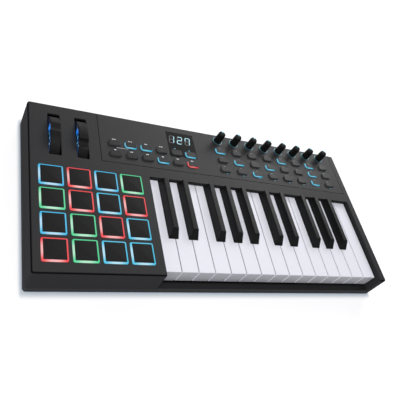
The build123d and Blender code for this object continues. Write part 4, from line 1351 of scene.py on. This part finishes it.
@dataclass
class KnobBank(Assembly):
    """Ribbed knobs with a domed crown and a bright pointer."""

    count: int = 8
    columns: int = 48
    skirt: float = 45.1
    skirt_height: float = 1.0
    skirt_inset: float = 0.1
    foot_chamfer: float = 0.3
    run_in: float = 0.4
    shoulder_drop: float = 0.8
    shoulder_rise: float = 0.45
    shoulder_inset: float = 0.02
    top_radius: float = 5.35
    crown: float = 2.2
    crown_gap: float = 0.03
    bore: float = 3.1
    rib: float = 0.16
    rib_margin: float = 0.06
    pointer_width: float = 2.0
    pointer_start: float = 0.4
    pointer_end: float = 0.1
    pointer_proud: float = 0.06
    pointer_sunk: float = 0.01
    pointer_depth: float = 1.2
    pointer_thickness: float = 0.6
    pointer_drop: float = 1.6
    pointer_steps: int = 6
    dome_rings: tuple[float, ...] = (0.93, 0.8, 0.6, 0.35, 0.0)

    def build(self) -> None:
        """Make each knob's grip and pointer in place of its plain solid."""
        grip_finish = SoftRubber("knob_rubber", (0.006, 0.006, 0.0065), 0.5).build()
        pointer_finish = Glow("knob_pointer", (0.03, 0.36, 0.50), 0.9).build()
        for number in range(1, self.count + 1):
            node = f"knob_{number}"
            low, high = node_box(node)
            place = ((low.x + high.x) / 2, (low.y + high.y) / 2, 0.0)
            grip = Shape().stamp(self._grip((high.x - low.x) / 2, high.z), place)
            piece = grip.release(f"knob_grip_{number}", node, "knob_plastic", [grip_finish])
            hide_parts(node)
            mark = Shape().stamp(self._pointer(high.z), place)
            mark.release(f"knob_pointer_{number}", node, "knob_plastic", [pointer_finish])

    def _drop(self, distance: float) -> float:
        """How far the dome has fallen at a distance from the knob's axis."""
        dome = (self.top_radius ** 2 + self.crown ** 2) / (2 * self.crown)
        return dome - math.sqrt(dome ** 2 - distance ** 2)

    def _grip(self, radius: float, top: float) -> Shape:
        """Shape the body with its ribbed grip and domed top.

        Args:
            radius: radius of the skirt.
            top: height of the crown.

        Returns:
            The body about the upright axis.
        """
        foot = self.skirt + self.skirt_height
        shoulder = top - self.crown - self.shoulder_drop
        dome = [(self.top_radius * share, top - self.crown_gap - self._drop(self.top_radius * share))
                for share in self.dome_rings]
        outline = [(0.0, foot), (self.bore, foot), (self.bore, self.skirt),
                   (radius - self.foot_chamfer, self.skirt),
                   (radius - self.skirt_inset, self.skirt + self.foot_chamfer),
                   (radius - self.skirt_inset, foot), (radius - self.rib, foot + self.run_in),
                   (self.top_radius, shoulder),
                   (self.top_radius - self.shoulder_inset, shoulder + self.shoulder_rise), *dome]
        shape = Shape().lathe(outline, self.columns)
        middles = {face: face.calc_center_median() for face in shape.mesh.faces}
        sides = [face for face, middle in middles.items() if foot + self.run_in < middle.z < shoulder]
        sides.sort(key=lambda face: math.atan2(middles[face].y, middles[face].x))
        bmesh.ops.inset_individual(shape.mesh, faces=sides[::2], thickness=self.rib_margin,
                                   depth=self.rib)
        return shape

    def _pointer(self, top: float) -> Shape:
        """Shape the bright bar that follows the dome from its middle to its rear edge.

        Args:
            top: height of the crown.

        Returns:
            The bar, pointing to the rear of the upright axis.
        """
        shape = Shape()
        span = self.top_radius - self.pointer_start - self.pointer_end
        reach = [self.pointer_start + step * span / self.pointer_steps
                 for step in range(self.pointer_steps + 1)]
        end = top - self.crown - self.pointer_drop
        outline = [(distance, top - self.pointer_sunk - self._drop(distance)) for distance in reach]
        outline += [(self.top_radius + self.pointer_proud, end),
                    (self.top_radius - self.pointer_depth, end),
                    (self.pointer_start, top - self.pointer_thickness)]
        verts = [shape.mesh.verts.new((-self.pointer_width / 2, y, z)) for y, z in outline]
        face = shape.mesh.faces.new(verts)
        drawn = bmesh.ops.extrude_face_region(shape.mesh, geom=[face])["geom"]
        moved = [item for item in drawn if isinstance(item, bmesh.types.BMVert)]
        bmesh.ops.translate(shape.mesh, vec=(self.pointer_width, 0.0, 0.0), verts=moved)
        return shape.face_out()


@dataclass
class WheelPair(Assembly):
    """Pitch and modulation wheels."""

    axle_reach: float = 7.0
    lit_reach: float = 9.0

    def build(self) -> None:
        """Dress the wheels, whose axles reach furthest to the left."""
        low, high = node_box("pitch_wheel")
        lit_to = (low.y + high.y) / 2 + self.lit_reach
        for node in ("pitch_wheel", "mod_wheel"):
            low, _ = node_box(node)
            self.dress(WheelFinish(f"{node}_rubber", low.x + self.axle_reach, lit_to), node)


@dataclass
class InnerWorks(Assembly):
    """Boards, chassis, springs and sockets inside and behind the case."""

    def build(self) -> None:
        """Dress the inner pieces and the sockets."""
        self.dress(Board("solder_mask"), "control_board", "pad_board", "key_contact_board")
        self.dress(SoftRubber("chassis_moulding", (0.02, 0.02, 0.022), 0.6, 900.0),
                   "key_chassis", "wheel_cradle")
        self.dress(SoftRubber("contact_silicone", (0.12, 0.12, 0.13), 0.7), "contact_strip")
        self.dress(DrawnSteel("spring_steel", (0.62, 0.62, 0.63), 0.25), "key_springs")
        self.dress(KeyPlastic("reflector_plastic", (0.8, 0.8, 0.8), 0.4, 0.1), "pad_light_frame")
        self.dress(KeyPlastic("socket_plastic", (0.01, 0.01, 0.011), 0.35, 0.3), "jack_board")
        self.dress(KeyPlastic("switch_plastic", (0.02, 0.02, 0.02), 0.4, 0.3), "power_switch")


@dataclass(frozen=True)
class SoftLight:
    """A square light that faces a target, in metres and watts."""

    name: str
    place: tuple[float, float, float]
    target: tuple[float, float, float]
    size: float
    power: float

    def build(self) -> None:
        """Make the light."""
        data = bpy.data.lights.new(self.name, "AREA")
        data.shape = "SQUARE"
        data.size = self.size
        data.energy = self.power
        light = add_object(self.name, data)
        light.location = self.place
        aim = Vector(self.target) - Vector(self.place)
        light.rotation_euler = aim.to_track_quat("-Z", "Y").to_euler()


@dataclass
class Studio:
    """Floor, lights and camera, in metres."""

    position: tuple[float, float, float] = (-0.35512, -0.35481, 0.50558)
    turn: tuple[float, float, float] = (0.672361, -0.463658, -0.226861)
    lens: float = 44.158
    sensor: float = 36.0
    nearest: float = 0.01
    floor_half: float = 6.0
    surround: float = 0.14
    lights: tuple[SoftLight, ...] = (
        SoftLight("overhead", (-0.5, -0.4, 1.9), (0.0, 0.0, 0.0), 1.2, 28.0),
        SoftLight("rear", (0.6, 1.8, 1.0), (0.0, 0.0, 0.0), 1.0, 9.0),
        SoftLight("rear_right", (1.30, 1.30, 1.0), (0.1, 0.0, 0.0), 0.9, 15.0),
        SoftLight("left_fill", (-1.5, -1.0, 0.35), (0.0, 0.0, 0.03), 1.1, 5.0),
    )

    def build(self) -> None:
        """Make the camera, the floor and the lights."""
        self._camera()
        self._floor()
        for light in self.lights:
            light.build()
        self._surroundings()

    def _camera(self) -> None:
        """Make the scene's camera."""
        data = bpy.data.cameras.new("camera")
        data.lens = self.lens
        data.sensor_width = self.sensor
        data.clip_start = self.nearest
        camera = add_object("camera", data)
        camera.location = self.position
        camera.rotation_euler = Euler(self.turn, "XYZ")
        bpy.context.scene.camera = camera

    def _floor(self) -> None:
        """Make the floor."""
        shape = Shape()
        bmesh.ops.create_grid(shape.mesh, x_segments=1, y_segments=1, size=self.floor_half)
        footprint = (tuple(part * MM for part in corner.xy) for corner in node_box("bottom_case"))
        shape.settle("floor", StudioFloor("floor_paper", *footprint).build())

    def _surroundings(self) -> None:
        """Make the even white surroundings."""
        world = bpy.data.worlds.new("studio")
        world.use_nodes = True
        background = world.node_tree.nodes["Background"]
        background.inputs["Color"].default_value = (1.0, 1.0, 1.0, 1.0)
        background.inputs["Strength"].default_value = self.surround
        bpy.context.scene.world = world
        bpy.context.scene.view_settings.view_transform = "Standard"


def main() -> None:
    """Build every sub-assembly round the frame."""
    logging.basicConfig(level=logging.INFO, format="%(name)s: %(message)s")
    for item in list(bpy.data.objects):
        bpy.data.objects.remove(item)
    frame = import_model()
    buttons = ButtonField(frame)
    parts = (CaseShell(frame), Keybed(frame), PadField(frame), buttons, DisplayUnit(frame),
             PanelMarks(frame, buttons), KnobBank(frame), WheelPair(frame), InnerWorks(frame), Studio())
    for part in parts:
        part.build()
        LOG.info("finished %s", type(part).__name__)


if __name__ == "__main__":
    main()
